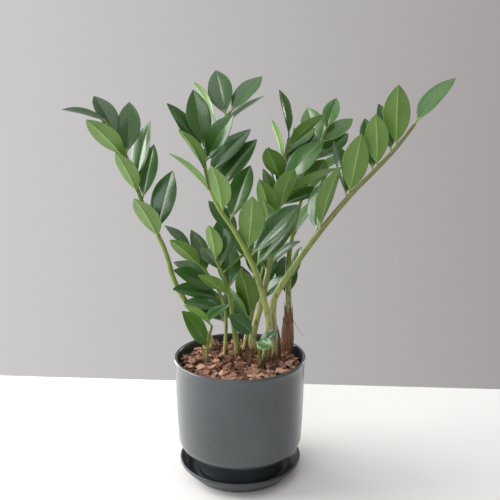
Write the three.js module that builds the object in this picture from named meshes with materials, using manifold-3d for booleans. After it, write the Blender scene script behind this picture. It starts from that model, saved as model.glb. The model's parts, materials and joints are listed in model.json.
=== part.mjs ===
// Potted ZZ plant: drip saucer, pot, potting mix, bark mulch, rhizomes and fronds.
// Millimetres, +Z up, origin at the middle of the saucer's underside, front towards -Y.
import * as THREE from "three";
import { mergeVertices } from "three/addons/utils/BufferGeometryUtils.js";
import Module from "manifold-3d";

// ---- driving dimensions -------------------------------------------------------------------
const GAP = 0.35; // air left between pieces that rest on one another
const TURNS = 56; // sides of every turned piece

const SAUCER = { foot: 64, rim: 80, height: 21, wall: 3.6, floor: 6 };
const POT = { rim: 85, height: 160, wall: 4.2, lip: 4.6, foot: 56, drain: 7 };
const POT_SHOULDER = 32; // underside of the pot's rounded body
const POT_FLOOR = 5; // thickness of the floor inside the pot's foot
const SOIL_TOP = 136;
const MULCH_TOP = 151.5;

const STEM_SIDES = 8;
const RIB = 0.55; // half thickness of a leaflet along its midrib
const FOLD = 0.22; // how far the edges rise above the midrib, per unit of half width
const BOW = 0.035; // how far the midrib bulges to the upper side, per unit of length
const HEEL = 1.3; // half size of a leaflet's stalk where it meets the stem

// Half width of a leaflet along its length, as a share of its half width at the widest.
const OUTLINE = [
  [0.06, 0.11],
  [0.18, 0.52],
  [0.35, 0.9],
  [0.53, 1.0],
  [0.73, 0.81],
  [0.9, 0.38],
];

// ---- fronds -------------------------------------------------------------------------------
// path: points of the stem from the rhizome up; radius: at the foot and at the tip;
// leaflets: [place along the stem 0..1, heading, climb, roll, length, width], heading in degrees
// from +X towards +Y, climb in degrees above level, roll in degrees about the leaflet's length.
const FROND_A = {
  path: [
    [-22, 36, 128],
    [-36, 44, 156],
    [-84, 36, 245],
    [-96, 28, 292],
    [-120, 14, 353],
    [-136, 0, 413],
    [-147, -6, 441],
    [-157, -10, 457],
  ],
  radius: [4.6, 1.7],
  leaflets: [
    [0.585, 45, 68, 25, 80, 38],
    [0.56, 241, 50, 12, 74, 35],
    [0.74, 236, 54, 10, 64, 31],
    [0.87, 227, 40, 30, 72, 34],
    [0.71, 55, 68, 20, 72, 28],
    [0.78, 6, 74, 45, 76, 33],
    [0.875, 86, 62, 10, 70, 32],
    [0.94, 134, 47, -5, 66, 32],
    [1.0, 184, 16, -15, 54, 27],
  ],
};

const FROND_B = {
  path: [
    [28, -10, 128],
    [31, -14, 156],
    [37, -21, 205],
    [28, -26, 248],
    [19, -30, 279],
    [-4, -36, 327],
    [-26, -38, 362],
    [-37, -37, 392],
    [-41, -34, 416],
    [-36, -29, 436],
    [-11, -20, 468],
  ],
  radius: [4.8, 1.7],
  leaflets: [
    [0.5, 300, 76, -35, 70, 36],
    [0.55, 140, 40, -15, 62, 30],
    [0.73, 215, 40, 0, 72, 30],
    [0.65, 256, 56, -15, 72, 34],
    [0.8, 234, 46, -10, 66, 30],
    [0.845, 180, 54, -30, 72, 33],
    [0.865, 150, 76, -50, 68, 32],
    [0.94, 138, 53, 60, 66, 24],
    [0.985, 112, 56, -30, 64, 33],
    [1.0, 33, 42, 20, 62, 31],
    [0.925, 25, 32, 0, 76, 28],
    [0.82, 330, 54, 78, 68, 33],
    [0.775, 38, 38, 12, 84, 39],
    [0.715, 33, 44, 18, 88, 42],
    [0.475, 4, 46, 32, 88, 42],
    [0.435, 22, 46, 22, 84, 40],
    [0.61, 54, 55, 11, 78, 33],
  ],
};

const FROND_C = {
  path: [
    [40, 2, 128],
    [46, 0, 156],
    [43, -1, 232],
    [60, -3, 265],
    [100, -3, 323],
    [140, 4, 370],
    [169, 10, 398],
    [198, 18, 428],
    [217, 24, 452],
  ],
  radius: [5.4, 2.0],
  leaflets: [
    [1.0, 17, 46, 15, 78, 37],
    [0.911, 251, 76, 5, 77, 37],
    [0.887, 118, 62, 0, 66, 31],
    [0.821, 241, 74, 20, 68, 33],
    [0.802, 108, 65, 5, 70, 34],
    [0.698, 320, 81, -60, 76, 37],
    [0.685, 116, 62, 20, 76, 37],
    [0.556, 325, 74, -18, 82, 38],
    [0.54, 82, 60, -40, 72, 34],
  ],
};

const FROND_D = {
  path: [
    [12, 12, 128],
    [15, 12, 156],
    [17, 14, 182],
    [29, 24, 226],
    [40, 36, 277],
    [48, 48, 327],
    [53, 58, 365],
    [58, 66, 397],
    [65, 76, 433],
  ],
  radius: [5.2, 1.8],
  leaflets: [
    [1.0, 175, 78, -27, 62, 30],
    [0.96, 333, 40, -22, 66, 30],
    [0.93, 37, 31, 19, 60, 29],
    [0.88, 29, 32, 30, 68, 33],
    [0.8, 358, 46, 50, 80, 38],
    [0.745, 352, 27, -28, 88, 34],
    [0.715, 14, 16, 20, 68, 34],
    [0.69, 304, 60, -15, 68, 33],
    [0.905, 150, 68, 60, 56, 18],
    [0.77, 118, 62, 26, 64, 30],
    [0.62, 208, 70, 35, 70, 34],
    [0.55, 232, 72, 0, 66, 31],
    [0.85, 50, 26, -10, 50, 26],
    [0.53, 100, 48, 10, 66, 32],
    [0.82, 240, 46, 25, 62, 30],
    [0.67, 110, 50, 25, 75, 33],
    [0.447, 161, 40, -36, 76, 35],
  ],
};

const FROND_E = {
  path: [
    [-4, 12, 128],
    [-3, 12, 156],
    [-9, 5, 204],
    [-12, 0, 235],
    [-20, -3, 264],
    [-29, -4, 286],
  ],
  radius: [4.4, 1.8],
  leaflets: [
    [0.74, 90, 56, -5, 66, 34],
    [1.0, 250, 66, -13, 54, 27],
    [0.91, 126, 26, -8, 50, 27],
    [0.71, 212, 36, 35, 54, 26],
    [0.63, 240, -8, 8, 55, 26],
    [0.89, 12, 34, -20, 56, 29],
    [0.945, 74, 71, 19, 67, 33],
  ],
};

const FROND_F = {
  path: [
    [-36, -4, 128],
    [-42, -8, 156],
    [-40, -12, 182],
    [-35, -16, 204],
  ],
  radius: [2.4, 1.5],
  leaflets: [
    [0.6, 190, 58, -50, 60, 31],
    [1.0, 205, 42, 25, 50, 24],
  ],
};

const FROND_G = {
  path: [
    [26, -22, 128],
    [26, -24, 156],
    [22, -32, 182],
    [17, -37, 199],
  ],
  radius: [1.9, 1.3],
  leaflets: [
    [1.0, 180, 42, -60, 41, 25],
    [0.86, 312, 5, 50, 32, 19],
    [0.72, 348, 46, 40, 36, 21],
  ],
};

const FROND_H = {
  path: [
    [4, 24, 128],
    [6, 28, 156],
    [13, 38, 190],
    [22, 50, 222],
    [30, 62, 252],
    [38, 74, 282],
  ],
  radius: [4.0, 1.7],
  leaflets: [
    [0.42, 165, 50, 30, 62, 31],
    [0.5, 112, 50, 20, 66, 32],
    [0.56, 350, 40, 25, 60, 31],
    [0.63, 60, 44, 12, 68, 33],
    [0.73, 104, 40, 0, 66, 33],
    [0.83, 345, 40, 20, 66, 33],
    [0.9, 130, 34, -8, 66, 33],
    [1.0, 84, 62, -8, 66, 33],
    [0.36, 128, 33, -29, 63, 38],
    [0.31, 102, 36, -24, 72, 33],
    [0.463, 212, 74, 36, 67, 38],
    [0.945, 175, 28, -25, 73, 33],
  ],
};

const FROND_K = {
  path: [
    [54, 26, 128],
    [62, 29, 156],
    [65, 50, 220],
    [66, 66, 270],
    [76, 82, 322],
    [91, 94, 370],
    [105, 103, 409],
    [117, 110, 438],
  ],
  radius: [5.0, 1.8],
  leaflets: [
    [1.0, 48, 61, 25, 50, 25],
    [0.95, 30, 30, 30, 62, 30],
    [0.85, 128, 52, -9, 62, 31],
    [0.8, 350, 30, 20, 66, 32],
    [0.55, 48, 40, -20, 68, 33],
    [0.36, 55, 52, -16, 54, 26],
    [0.71, 100, 44, 0, 68, 33],
    [0.737, 304, 48, -45, 64, 34],
    [0.303, 92, 40, 9, 67, 35],
    [0.932, 117, 58, -43, 60, 36],
    [0.878, 34, 28, 32, 68, 32],
  ],
};

const FROND_M = {
  path: [
    [-20, 14, 128],
    [-20, 12, 156],
    [-18, 18, 190],
    [-21, 24, 222],
    [-33, 30, 247],
    [-48, 34, 267],
    [-62, 38, 283],
  ],
  radius: [2.8, 1.5],
  leaflets: [
    [0.83, 122, 52, 6, 64, 30],
    [1.0, 150, 40, 0, 56, 27],
    [0.89, 215, 42, 40, 62, 29],
    [0.77, 150, 14, -15, 62, 29],
    [0.68, 205, 28, -40, 68, 35],
    [0.5, 168, 8, -24, 58, 28],
    [0.605, 195, 14, -29, 67, 34],
    [0.408, 135, 32, -38, 70, 37],
  ],
};

// Papery sheaths: [stem path, from height, to height, clearance, first angle, last angle]
const SHEATHS = {
  sheath_c: [FROND_C, 157, 212, 1.2, 150, 380],
  sheath_k: [FROND_K, 157, 216, 1.2, 130, 400],
};

// Loose chips on the bed: [x, y, turn, tilt, length, width]
const LOOSE_CHIPS = [
  [52, -38, 20, 6, 24, 13],
  [30, -58, -35, -5, 22, 12],
  [62, -14, 70, 8, 20, 12],
  [-8, -62, 12, 5, 21, 11],
  [-44, -44, -50, -7, 20, 12],
  [-62, -8, 80, 6, 19, 11],
];
const CHIP_THICK = 3.2;

// ---- closed skins -------------------------------------------------------------------------
class Skin {
  constructor() {
    this.points = [];
    this.faces = [];
  }

  point(p) {
    this.points.push(p);
    return this.points.length - 1;
  }

  ring(points) {
    return points.map((p) => this.point(p));
  }

  quad(a, b, c, d) {
    this.faces.push(a, b, c, a, c, d);
  }

  // Wall between two rings that both run anticlockwise about the way from low to high.
  band(low, high, open = -1) {
    const n = low.length;
    for (let i = 0; i < n; i++) {
      if (i === open) continue;
      const j = (i + 1) % n;
      this.quad(low[i], low[j], high[j], high[i]);
    }
  }

  startCap(ring, centre) {
    const c = this.point(centre);
    ring.forEach((v, i) => this.faces.push(c, ring[(i + 1) % ring.length], v));
  }

  endCap(ring, centre) {
    const c = this.point(centre);
    ring.forEach((v, i) => this.faces.push(c, v, ring[(i + 1) % ring.length]));
  }

  geometry() {
    const g = new THREE.BufferGeometry();
    const flat = this.points.flatMap((p) => [p.x, p.y, p.z]);
    g.setAttribute("position", new THREE.Float32BufferAttribute(flat, 3));
    g.setIndex(this.faces);
    return g;
  }
}

const rad = THREE.MathUtils.degToRad;
const vec = (x, y, z) => new THREE.Vector3(x, y, z);
const along = (p, d, s) => p.clone().addScaledVector(d, s);

function turned(profile) {
  const points = profile.map(([r, z]) => new THREE.Vector2(r, z));
  return new THREE.LatheGeometry(points, TURNS).rotateX(Math.PI / 2);
}

function arc(cr, cz, radius, from, to, steps) {
  const out = [];
  for (let i = 0; i <= steps; i++) {
    const a = rad(from + ((to - from) * i) / steps);
    out.push([cr + radius * Math.cos(a), cz + radius * Math.sin(a)]);
  }
  return out;
}

// ---- stems --------------------------------------------------------------------------------
function stemCurve(frond) {
  const curve = new THREE.CatmullRomCurve3(
    frond.path.map((p) => vec(...p)),
    false,
    "centripetal",
  );
  curve.arcLengthDivisions = 400;
  return curve;
}

function stemRadius(frond, t) {
  const [foot, tip] = frond.radius;
  const swell = 1 + 0.25 * Math.exp(-t * 14);
  return (foot + (tip - foot) * t) * swell;
}

// Right angled frame of the stem at t: tangent and two directions across it.
function stemFrame(curve, t) {
  const tangent = curve.getTangentAt(t);
  const side = vec(0, -1, 0).cross(tangent).normalize();
  return { at: curve.getPointAt(t), tangent, side, other: tangent.clone().cross(side) };
}

function stemRing(curve, frond, t, extra = 0) {
  const f = stemFrame(curve, t);
  const r = stemRadius(frond, t) + extra;
  const out = [];
  for (let i = 0; i < STEM_SIDES; i++) {
    const a = (i / STEM_SIDES) * Math.PI * 2;
    out.push(along(along(f.at, f.side, r * Math.cos(a)), f.other, r * Math.sin(a)));
  }
  return out;
}

// ---- leaflets -----------------------------------------------------------------------------
function leafletFrame(curve, frond, spec, gap) {
  const [t, heading, climb, roll, length, width] = spec;
  const f = stemFrame(curve, t);
  const c = Math.cos(rad(climb));
  const d = vec(c * Math.cos(rad(heading)), c * Math.sin(rad(heading)), Math.sin(rad(climb)));
  const tip = along(f.at, d, length);
  let out = along(d, f.tangent, -d.dot(f.tangent)).normalize();
  let root = along(f.at, out, stemRadius(frond, t) + gap);
  if (t === 1) {
    out = f.tangent.clone();
    root = along(f.at, f.tangent, 0.6 * stemRadius(frond, 1) + gap);
  }
  const run = tip.clone().sub(root);
  const reach = run.length();
  run.normalize();
  const up = along(vec(0, 0, 1), run, -run.z).normalize();
  const normal = up.applyAxisAngle(run, rad(roll));
  const across = run.clone().cross(normal);
  return { f, out, root, run, reach, normal, across, width, tip };
}

// Rings of a leaflet from its stalk to just short of its tip: top, right, under, left.
function leafletRings(L) {
  return OUTLINE.map(([s, share]) => {
    const half = Math.max((L.width / 2) * share, HEEL);
    const rise = L.reach * BOW * 4 * s * (1 - s);
    const mid = along(along(L.root, L.run, L.reach * s), L.normal, rise);
    const thick = RIB * (1.5 - s);
    const lift = half * FOLD;
    return [
      along(mid, L.normal, thick),
      along(along(mid, L.across, half), L.normal, lift),
      along(mid, L.normal, -thick),
      along(along(mid, L.across, -half), L.normal, lift),
    ];
  });
}

function addLeaflet(skin, base, L) {
  let last = base;
  for (const points of leafletRings(L)) {
    const ring = skin.ring(points);
    skin.band(last, ring);
    last = ring;
  }
  skin.endCap(last, L.tip);
}

function separateLeaflet(curve, frond, spec) {
  const L = leafletFrame(curve, frond, spec, GAP);
  const skin = new Skin();
  const up = along(L.normal, L.out, -L.normal.dot(L.out)).normalize();
  const across = L.out.clone().cross(up);
  const base = skin.ring([
    along(L.root, up, HEEL * 0.8),
    along(L.root, across, HEEL * 0.8),
    along(L.root, up, -HEEL * 0.8),
    along(L.root, across, -HEEL * 0.8),
  ]);
  skin.faces.push(base[0], base[2], base[1], base[0], base[3], base[2]);
  addLeaflet(skin, base, L);
  return skin.geometry();
}

// One stem. With leaflets, each grows out of a side face between two close rings.
function stemSkin(curve, frond, leaflets) {
  const skin = new Skin();
  const length = curve.getLength();
  const h = 1.5 / length;
  const stops = [];
  const steps = Math.max(6, Math.round(length / 22));
  for (let i = 0; i <= steps; i++) stops.push({ t: i / steps });
  const last4 = leaflets.find((spec) => spec[0] === 1);
  const attach = leaflets.filter((spec) => spec[0] < 1).map((spec) => ({ t: spec[0], spec }));
  attach.sort((a, b) => a.t - b.t);
  const clear = (s) => attach.every((a) => Math.abs(a.t - s.t) > h * 2.2);
  const kept = stops.filter((s) => s.t === 0 || s.t === 1 || clear(s));
  for (const a of attach) {
    kept.push({ t: a.t - h });
    kept.push({ t: a.t + h, spec: a.spec });
  }
  kept.sort((a, b) => a.t - b.t);
  let last = null;
  for (const stop of kept) {
    const points = stemRing(curve, frond, stop.t);
    const ring = skin.ring(points);
    if (!last) skin.startCap(ring, curve.getPointAt(0));
    else if (!stop.spec) skin.band(last, ring);
    else {
      const L = leafletFrame(curve, frond, [stop.t - h, ...stop.spec.slice(1)], 0);
      const a = Math.atan2(L.out.dot(L.f.other), L.out.dot(L.f.side));
      const turn = (a / (Math.PI * 2)) * STEM_SIDES - 0.5;
      const i = ((Math.round(turn) % STEM_SIDES) + STEM_SIDES) % STEM_SIDES;
      const j = (i + 1) % STEM_SIDES;
      skin.band(last, ring, i);
      const hole = [last[i], last[j], ring[j], ring[i]];
      addLeaflet(skin, bestTurn(skin, hole, leafletRings(L)[0]), L);
    }
    last = ring;
  }
  if (last4) {
    const L = leafletFrame(curve, frond, last4, 0);
    addLeaflet(skin, funnel(skin, last, leafletRings(L)[0]), L);
    return skin.geometry();
  }
  const end = stemFrame(curve, 1);
  skin.endCap(last, along(end.at, end.tangent, 0.6 * stemRadius(frond, 1)));
  return skin.geometry();
}

// Narrows the stem's last ring of eight into a ring of four, and returns the ring of four.
function funnel(skin, eight, points) {
  const four = skin.ring(points.map((p) => p.clone()));
  const centre = points.reduce((sum, p) => sum.add(p), vec(0, 0, 0)).multiplyScalar(0.25);
  const back = eight.reduce((sum, v) => sum.add(skin.points[v]), vec(0, 0, 0));
  const shift = back.multiplyScalar(1 / 8).sub(centre).multiplyScalar(0.5);
  four.forEach((v) => skin.points[v].add(shift));
  const at = (m) => eight[((m % 8) + 8) % 8];
  let best = null;
  for (let m = 0; m < 8; m++) {
    const far = (k) => skin.points[at(2 * k + m)].distanceTo(skin.points[four[k]]);
    const cost = far(0) + far(1) + far(2) + far(3);
    if (!best || cost < best.cost) best = { cost, m };
  }
  for (let k = 0; k < 4; k++) {
    const low = 2 * k + best.m;
    const next = four[(k + 1) % 4];
    skin.faces.push(at(low), at(low + 1), four[k]);
    skin.faces.push(at(low + 1), at(low + 2), next);
    skin.faces.push(at(low + 1), next, four[k]);
  }
  return four;
}

// The four corners of a hole, started at the corner that twists the leaflet least.
function bestTurn(skin, hole, ring) {
  let best = null;
  for (let k = 0; k < 4; k++) {
    const order = hole.map((_, i) => hole[(i + k) % 4]);
    const cost = order.reduce((sum, v, i) => sum + skin.points[v].distanceTo(ring[i]), 0);
    if (!best || cost < best.cost) best = { cost, order };
  }
  return best.order;
}

// ---- papery sheath: a thin open curl round the foot of a stem --------------------------------
function sheathSkin(curve, frond, fromZ, toZ, clearance, a0, a1) {
  const skin = new Skin();
  const steps = 6;
  const across = 7;
  const thick = 0.8;
  let last = null;
  for (let i = 0; i <= steps; i++) {
    const z = fromZ + ((toZ - fromZ) * i) / steps;
    const t = heightToPlace(curve, z);
    const f = stemFrame(curve, t);
    const r = stemRadius(frond, t) + clearance + 0.35 * Math.sin(i * 1.7);
    const shrink = 0.36 * (i / steps) ** 2;
    const inner = [];
    const outer = [];
    for (let k = 0; k <= across; k++) {
      const share = shrink + ((1 - 2 * shrink) * k) / across;
      const a = rad(a0 + (a1 - a0) * share);
      const flare = 0.5 * Math.sin(k * 2.1 + i);
      const dir = along(f.side.clone().multiplyScalar(Math.cos(a)), f.other, Math.sin(a));
      inner.push(along(f.at, dir, r + 0.6 + flare * 0.5));
      outer.push(along(f.at, dir, r + 0.6 + thick + flare * 0.5));
    }
    const ring = skin.ring([...outer, ...inner.reverse()]);
    const n = ring.length;
    const strip = (flip) => {
      for (let k = 0; k < across; k++) {
        const q = [ring[k], ring[k + 1], ring[n - 2 - k], ring[n - 1 - k]];
        if (flip) q.reverse();
        skin.quad(...q);
      }
    };
    if (!last) strip(true);
    else skin.band(last, ring);
    if (i === steps) strip(false);
    last = ring;
  }
  return skin.geometry();
}

function heightToPlace(curve, z) {
  let t = 0;
  while (t < 1 && curve.getPointAt(t).z < z) t += 0.002;
  return Math.min(t, 1);
}

// ---- solids joined and cut with manifold-3d --------------------------------------------------
const wasm = await Module();
wasm.setup();

function toSolid(geometry) {
  const bare = geometry.clone();
  bare.deleteAttribute("uv");
  bare.deleteAttribute("normal");
  const merged = mergeVertices(bare, 1e-3);
  const mesh = new wasm.Mesh({
    numProp: 3,
    vertProperties: new Float32Array(merged.attributes.position.array),
    triVerts: new Uint32Array(merged.index.array),
  });
  return new wasm.Manifold(mesh);
}

function toGeometry(solid) {
  const mesh = solid.getMesh();
  const g = new THREE.BufferGeometry();
  const flat = new Float32Array(mesh.vertProperties);
  g.setAttribute("position", new THREE.Float32BufferAttribute(flat, 3));
  g.setIndex(Array.from(mesh.triVerts));
  return g;
}

function chipGeometry(x, y, z, turn, tilt, length, width, grow = 0) {
  const l = length / 2 + grow;
  const w = width / 2 + grow;
  const h = CHIP_THICK / 2 + grow;
  const cut = 0.3 * w;
  const outline = [
    [-l, -w + cut],
    [-l + cut, -w],
    [l - cut * 1.6, -w * 0.9],
    [l, -w * 0.2],
    [l - cut, w],
    [-l + cut * 0.6, w * 0.85],
  ];
  const skin = new Skin();
  const low = skin.ring(outline.map(([a, b]) => vec(a, b, -h)));
  const high = skin.ring(outline.map(([a, b]) => vec(a * 0.94, b * 0.92, h)));
  skin.startCap(low, vec(0, 0, -h));
  skin.band(low, high);
  skin.endCap(high, vec(0, 0, h));
  const g = skin.geometry();
  g.rotateX(rad(tilt));
  g.rotateZ(rad(turn));
  g.translate(x, y, z);
  return g;
}

// ---- the pieces ------------------------------------------------------------------------------
const group = new THREE.Group();
group.name = "potted_zz_plant";

function add(name, geometry, colour, roughness) {
  const material = new THREE.MeshStandardMaterial({ color: colour, roughness });
  const mesh = new THREE.Mesh(geometry, material);
  mesh.name = name;
  group.add(mesh);
}

function saucerGeometry() {
  const s = SAUCER;
  const profile = [
    [0, 0],
    [s.foot - 4, 0],
    ...arc(s.foot - 4, 7, 7, -90, -35, 4),
    [s.rim - 3.4, s.height - 7],
    ...arc(s.rim - s.wall / 2, s.height - s.wall / 2, s.wall / 2, -20, 180, 5),
    ...arc(s.foot - 4, s.floor + 7, 7, -30, -90, 4),
    [0, s.floor],
  ];
  return turned(profile);
}

function potGeometry() {
  const p = POT;
  const base = SAUCER.floor + GAP;
  const profile = [
    [p.drain, base],
    [p.foot, base],
    [p.foot, POT_SHOULDER - 2],
    [p.foot + 3, POT_SHOULDER],
    ...arc(60.5, POT_SHOULDER + 20, 20, -88, 0, 6),
    [81.6, 72],
    [82.6, 100],
    [83.2, 140],
    [83.6, p.height - 6],
    ...arc(p.rim - p.lip / 2, p.height - p.lip / 2, p.lip / 2, -30, 180, 6),
    [80.0, p.height - 8],
    [79.2, 100],
    ...arc(58, POT_SHOULDER + 24, 19, 0, -90, 4),
    [p.foot - 4, POT_SHOULDER + 4],
    [p.foot - 4, base + POT_FLOOR],
    [p.drain, base + POT_FLOOR],
    [p.drain, base],
  ];
  return turned(profile);
}

function fillProfile(low, high, dome) {
  const inset = GAP + 0.6;
  const wall = (z) => (z < 100 ? 77 + ((z - 56) / 44) * 2.2 : 79.2 + ((z - 100) / 52) * 0.8);
  const out = [[0, low]];
  if (low < POT_SHOULDER) {
    out.push([POT.foot - 4 - inset, low]);
    out.push([POT.foot - 4 - inset, POT_SHOULDER + 6.5]);
    out.push(...arc(58, POT_SHOULDER + 24.5, 18, -90, 0, 4));
  } else out.push([wall(low) - inset, low]);
  if (low < 100 && high > 100) out.push([wall(100) - inset, 100]);
  out.push([wall(high) - inset, high]);
  out.push([55, high + dome * 0.5]);
  out.push([25, high + dome * 0.9]);
  out.push([0, high + dome]);
  return out;
}

const FRONDS = {
  a: FROND_A,
  b: FROND_B,
  c: FROND_C,
  d: FROND_D,
  e: FROND_E,
  f: FROND_F,
  g: FROND_G,
  h: FROND_H,
  k: FROND_K,
  m: FROND_M,
};
const SPLIT = ["a", "b", "c"]; // fronds whose stem and leaflets are separate pieces
const STEM_COLOUR = 0x83913f;
const LEAF_COLOUR = 0x2f6b35;

const curves = {};
for (const [key, frond] of Object.entries(FRONDS)) curves[key] = stemCurve(frond);

// The foot of a stem, grown by a gap, to clear a way through the soil and the mulch.
function stemWay(key, grow) {
  const frond = FRONDS[key];
  const curve = curves[key];
  const top = heightToPlace(curve, MULCH_TOP + 12);
  const skin = new Skin();
  let last = null;
  for (let i = 0; i <= 5; i++) {
    const t = (top * i) / 5;
    const f = stemFrame(curve, t);
    const ring = skin.ring(stemRing(curve, frond, t, grow));
    if (!last) skin.startCap(ring, along(f.at, f.tangent, -grow));
    else skin.band(last, ring);
    if (i === 0) ring.forEach((v) => skin.points[v].addScaledVector(f.tangent, -grow));
    if (i === 5) skin.endCap(ring, f.at);
    last = ring;
  }
  return toSolid(skin.geometry());
}

// Rhizomes: [x, y, z, radius across, radius up]
const TUBERS = [
  [30, -4, 116, 25, 21],
  [-4, 18, 114, 26, 22],
  [-30, 10, 117, 22, 20],
  [50, 22, 115, 22, 20],
  [6, -20, 110, 22, 18],
];

function tuberSolid([x, y, z, across, up], grow) {
  const g = new THREE.SphereGeometry(1, 16, 9).rotateX(Math.PI / 2);
  g.scale(across + grow, across * 0.9 + grow, up + grow);
  g.translate(x, y, z);
  return toSolid(g);
}

function joined(solids) {
  return solids.reduce((sum, s) => sum.add(s));
}

const keys = Object.keys(FRONDS);
const ways = joined(keys.map((key) => stemWay(key, 2 * GAP)));
const rhizomes = joined(TUBERS.map((t) => tuberSolid(t, 0))).subtract(ways);
const rhizomeRoom = joined(TUBERS.map((t) => tuberSolid(t, 0.8)));
const soilFoot = SAUCER.floor + GAP + POT_FLOOR + GAP;
const soil = toSolid(turned(fillProfile(soilFoot, SOIL_TOP, 0)));

let bed = toSolid(turned(fillProfile(SOIL_TOP + GAP, MULCH_TOP, 0.6)));
for (let i = 0; i < 28; i++) {
  const angle = i * 137.5;
  const r = 16 + 54 * Math.sqrt((i + 0.5) / 28);
  const x = r * Math.cos(rad(angle));
  const y = r * Math.sin(rad(angle));
  const size = 13 + 5 * Math.abs(Math.sin(i * 2.3));
  const tilt = 9 * Math.sin(i * 1.9);
  const z = MULCH_TOP - 0.1;
  const shrink = r > 60 ? 0.75 : 1;
  bed = bed.add(toSolid(chipGeometry(x, y, z, i * 71, tilt, size * shrink, 9 * shrink)));
}
const chipHeight = MULCH_TOP + 2.6;
for (const [x, y, turn, tilt, length, width] of LOOSE_CHIPS) {
  const room = chipGeometry(x, y, chipHeight, turn, tilt, length, width, 0.6);
  bed = bed.subtract(toSolid(room));
}

add("saucer", saucerGeometry(), 0x3c4246, 0.5);
add("pot", potGeometry(), 0x565b5e, 0.55);
add("potting_mix", toGeometry(soil.subtract(rhizomeRoom).subtract(ways)), 0x2b211b, 0.95);
add("bark_mulch", toGeometry(bed.subtract(rhizomeRoom).subtract(ways)), 0x7d4e3c, 0.9);
add("rhizomes", toGeometry(rhizomes), 0x5a4636, 0.9);

for (const key of keys) {
  const frond = FRONDS[key];
  if (SPLIT.includes(key)) {
    add("stem_" + key, stemSkin(curves[key], frond, []), STEM_COLOUR, 0.5);
    frond.leaflets.forEach((spec, i) => {
      const name = "leaf_" + key + String(i + 1).padStart(2, "0");
      add(name, separateLeaflet(curves[key], frond, spec), LEAF_COLOUR, 0.3);
    });
  } else add("frond_" + key, stemSkin(curves[key], frond, frond.leaflets), LEAF_COLOUR, 0.35);
}

for (const [name, [frond, fromZ, toZ, clearance, a0, a1]] of Object.entries(SHEATHS)) {
  const curve = stemCurve(frond);
  add(name, sheathSkin(curve, frond, fromZ, toZ, clearance, a0, a1), 0xb09a78, 0.8);
}

LOOSE_CHIPS.forEach(([x, y, turn, tilt, length, width], i) => {
  const g = chipGeometry(x, y, chipHeight, turn, tilt, length, width);
  add("chip_" + (i + 1), g, 0xa9785c, 0.85);
});

export default group;
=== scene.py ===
import itertools
import json
import math
import random

import bmesh
import bpy
import numpy as np
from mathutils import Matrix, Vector, noise

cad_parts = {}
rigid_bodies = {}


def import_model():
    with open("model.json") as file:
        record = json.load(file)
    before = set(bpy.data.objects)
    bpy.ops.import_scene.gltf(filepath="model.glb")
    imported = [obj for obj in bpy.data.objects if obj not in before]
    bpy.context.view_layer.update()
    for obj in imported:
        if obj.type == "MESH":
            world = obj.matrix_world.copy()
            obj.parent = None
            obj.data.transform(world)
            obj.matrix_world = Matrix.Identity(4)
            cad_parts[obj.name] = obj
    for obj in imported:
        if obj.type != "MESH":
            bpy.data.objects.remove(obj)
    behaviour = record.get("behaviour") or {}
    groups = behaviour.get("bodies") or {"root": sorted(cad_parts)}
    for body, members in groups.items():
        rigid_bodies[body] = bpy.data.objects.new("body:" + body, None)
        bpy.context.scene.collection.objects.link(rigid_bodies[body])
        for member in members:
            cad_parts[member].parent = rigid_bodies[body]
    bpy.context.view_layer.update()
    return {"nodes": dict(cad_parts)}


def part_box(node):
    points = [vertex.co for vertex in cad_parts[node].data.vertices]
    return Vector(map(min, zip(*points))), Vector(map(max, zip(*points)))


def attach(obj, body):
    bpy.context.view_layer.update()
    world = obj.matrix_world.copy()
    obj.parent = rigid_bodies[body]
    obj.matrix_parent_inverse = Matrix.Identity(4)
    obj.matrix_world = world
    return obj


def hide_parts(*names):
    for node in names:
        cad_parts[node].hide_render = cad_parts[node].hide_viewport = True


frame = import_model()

bl_info = {
    "name": "Potted ZZ Plant",
    "version": (1, 0, 0),
    "blender": (4, 5, 0),
    "location": "3D View > Sidebar > ZZ Plant",
    "description": "Makes the pot, the bark bed, the stems and the leaflets of a potted ZZ plant",
    "category": "Object",
}

MM = 0.001
SAME_POINT = 2e-6  # corners of a CAD solid nearer than this are one
TIP_REACH = 0.0024  # a leaflet's tip stands at least this far off its first ring
FLAT_CAP = 3e-5  # the middle of a stem's end lies this close to its ring
HUSK_SUNK = 0.004  # how far sheaths and husks start below the top of the bark
NODES = frame["nodes"]
POT_LOW, POT_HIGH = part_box("pot")
SAUCER_LOW, SAUCER_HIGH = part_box("saucer")
BED_LOW, BED_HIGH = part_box("bark_mulch")
SOIL_LOW, SOIL_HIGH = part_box("potting_mix")
STEM_KEYS = "abcdefghkm"
JOINED_FRONDS = [k for k in STEM_KEYS if "frond_" + k in NODES]
SINGLE_LEAVES = sorted(n for n in NODES if n.startswith("leaf_"))


# ---- sizes and colours that a user would change ---------------------------------------------
def length(label, about, value):
    return bpy.props.FloatProperty(name=label, description=about, default=value, unit="LENGTH", precision=5)


def colour(label, about, value):
    return bpy.props.FloatVectorProperty(
        name=label, description=about, default=value, size=3, subtype="COLOR", min=0, max=1)


def number(label, about, value):
    return bpy.props.FloatProperty(name=label, description=about, default=value, min=0)


def whole(label, about, value):
    return bpy.props.IntProperty(name=label, description=about, default=value, min=0)


class ZZ_PotSettings(bpy.types.PropertyGroup):
    rim: length("Rim radius", "Outer radius of the pot at its rim", POT_HIGH.x)
    top: length("Rim height", "Height of the pot's rim", POT_HIGH.z)
    base: length("Base height", "Height of the pot's underside", POT_LOW.z)
    wall: length("Wall", "Thickness of the pot's wall", 0.0042)
    turns: whole("Sides", "Sides of the turned pot and saucer", 144)
    glaze: colour("Glaze", "Colour of the matt glaze", (0.047, 0.058, 0.065))
    worn: colour("Worn glaze", "Colour of the glaze where it is rubbed", (0.15, 0.165, 0.17))


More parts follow.
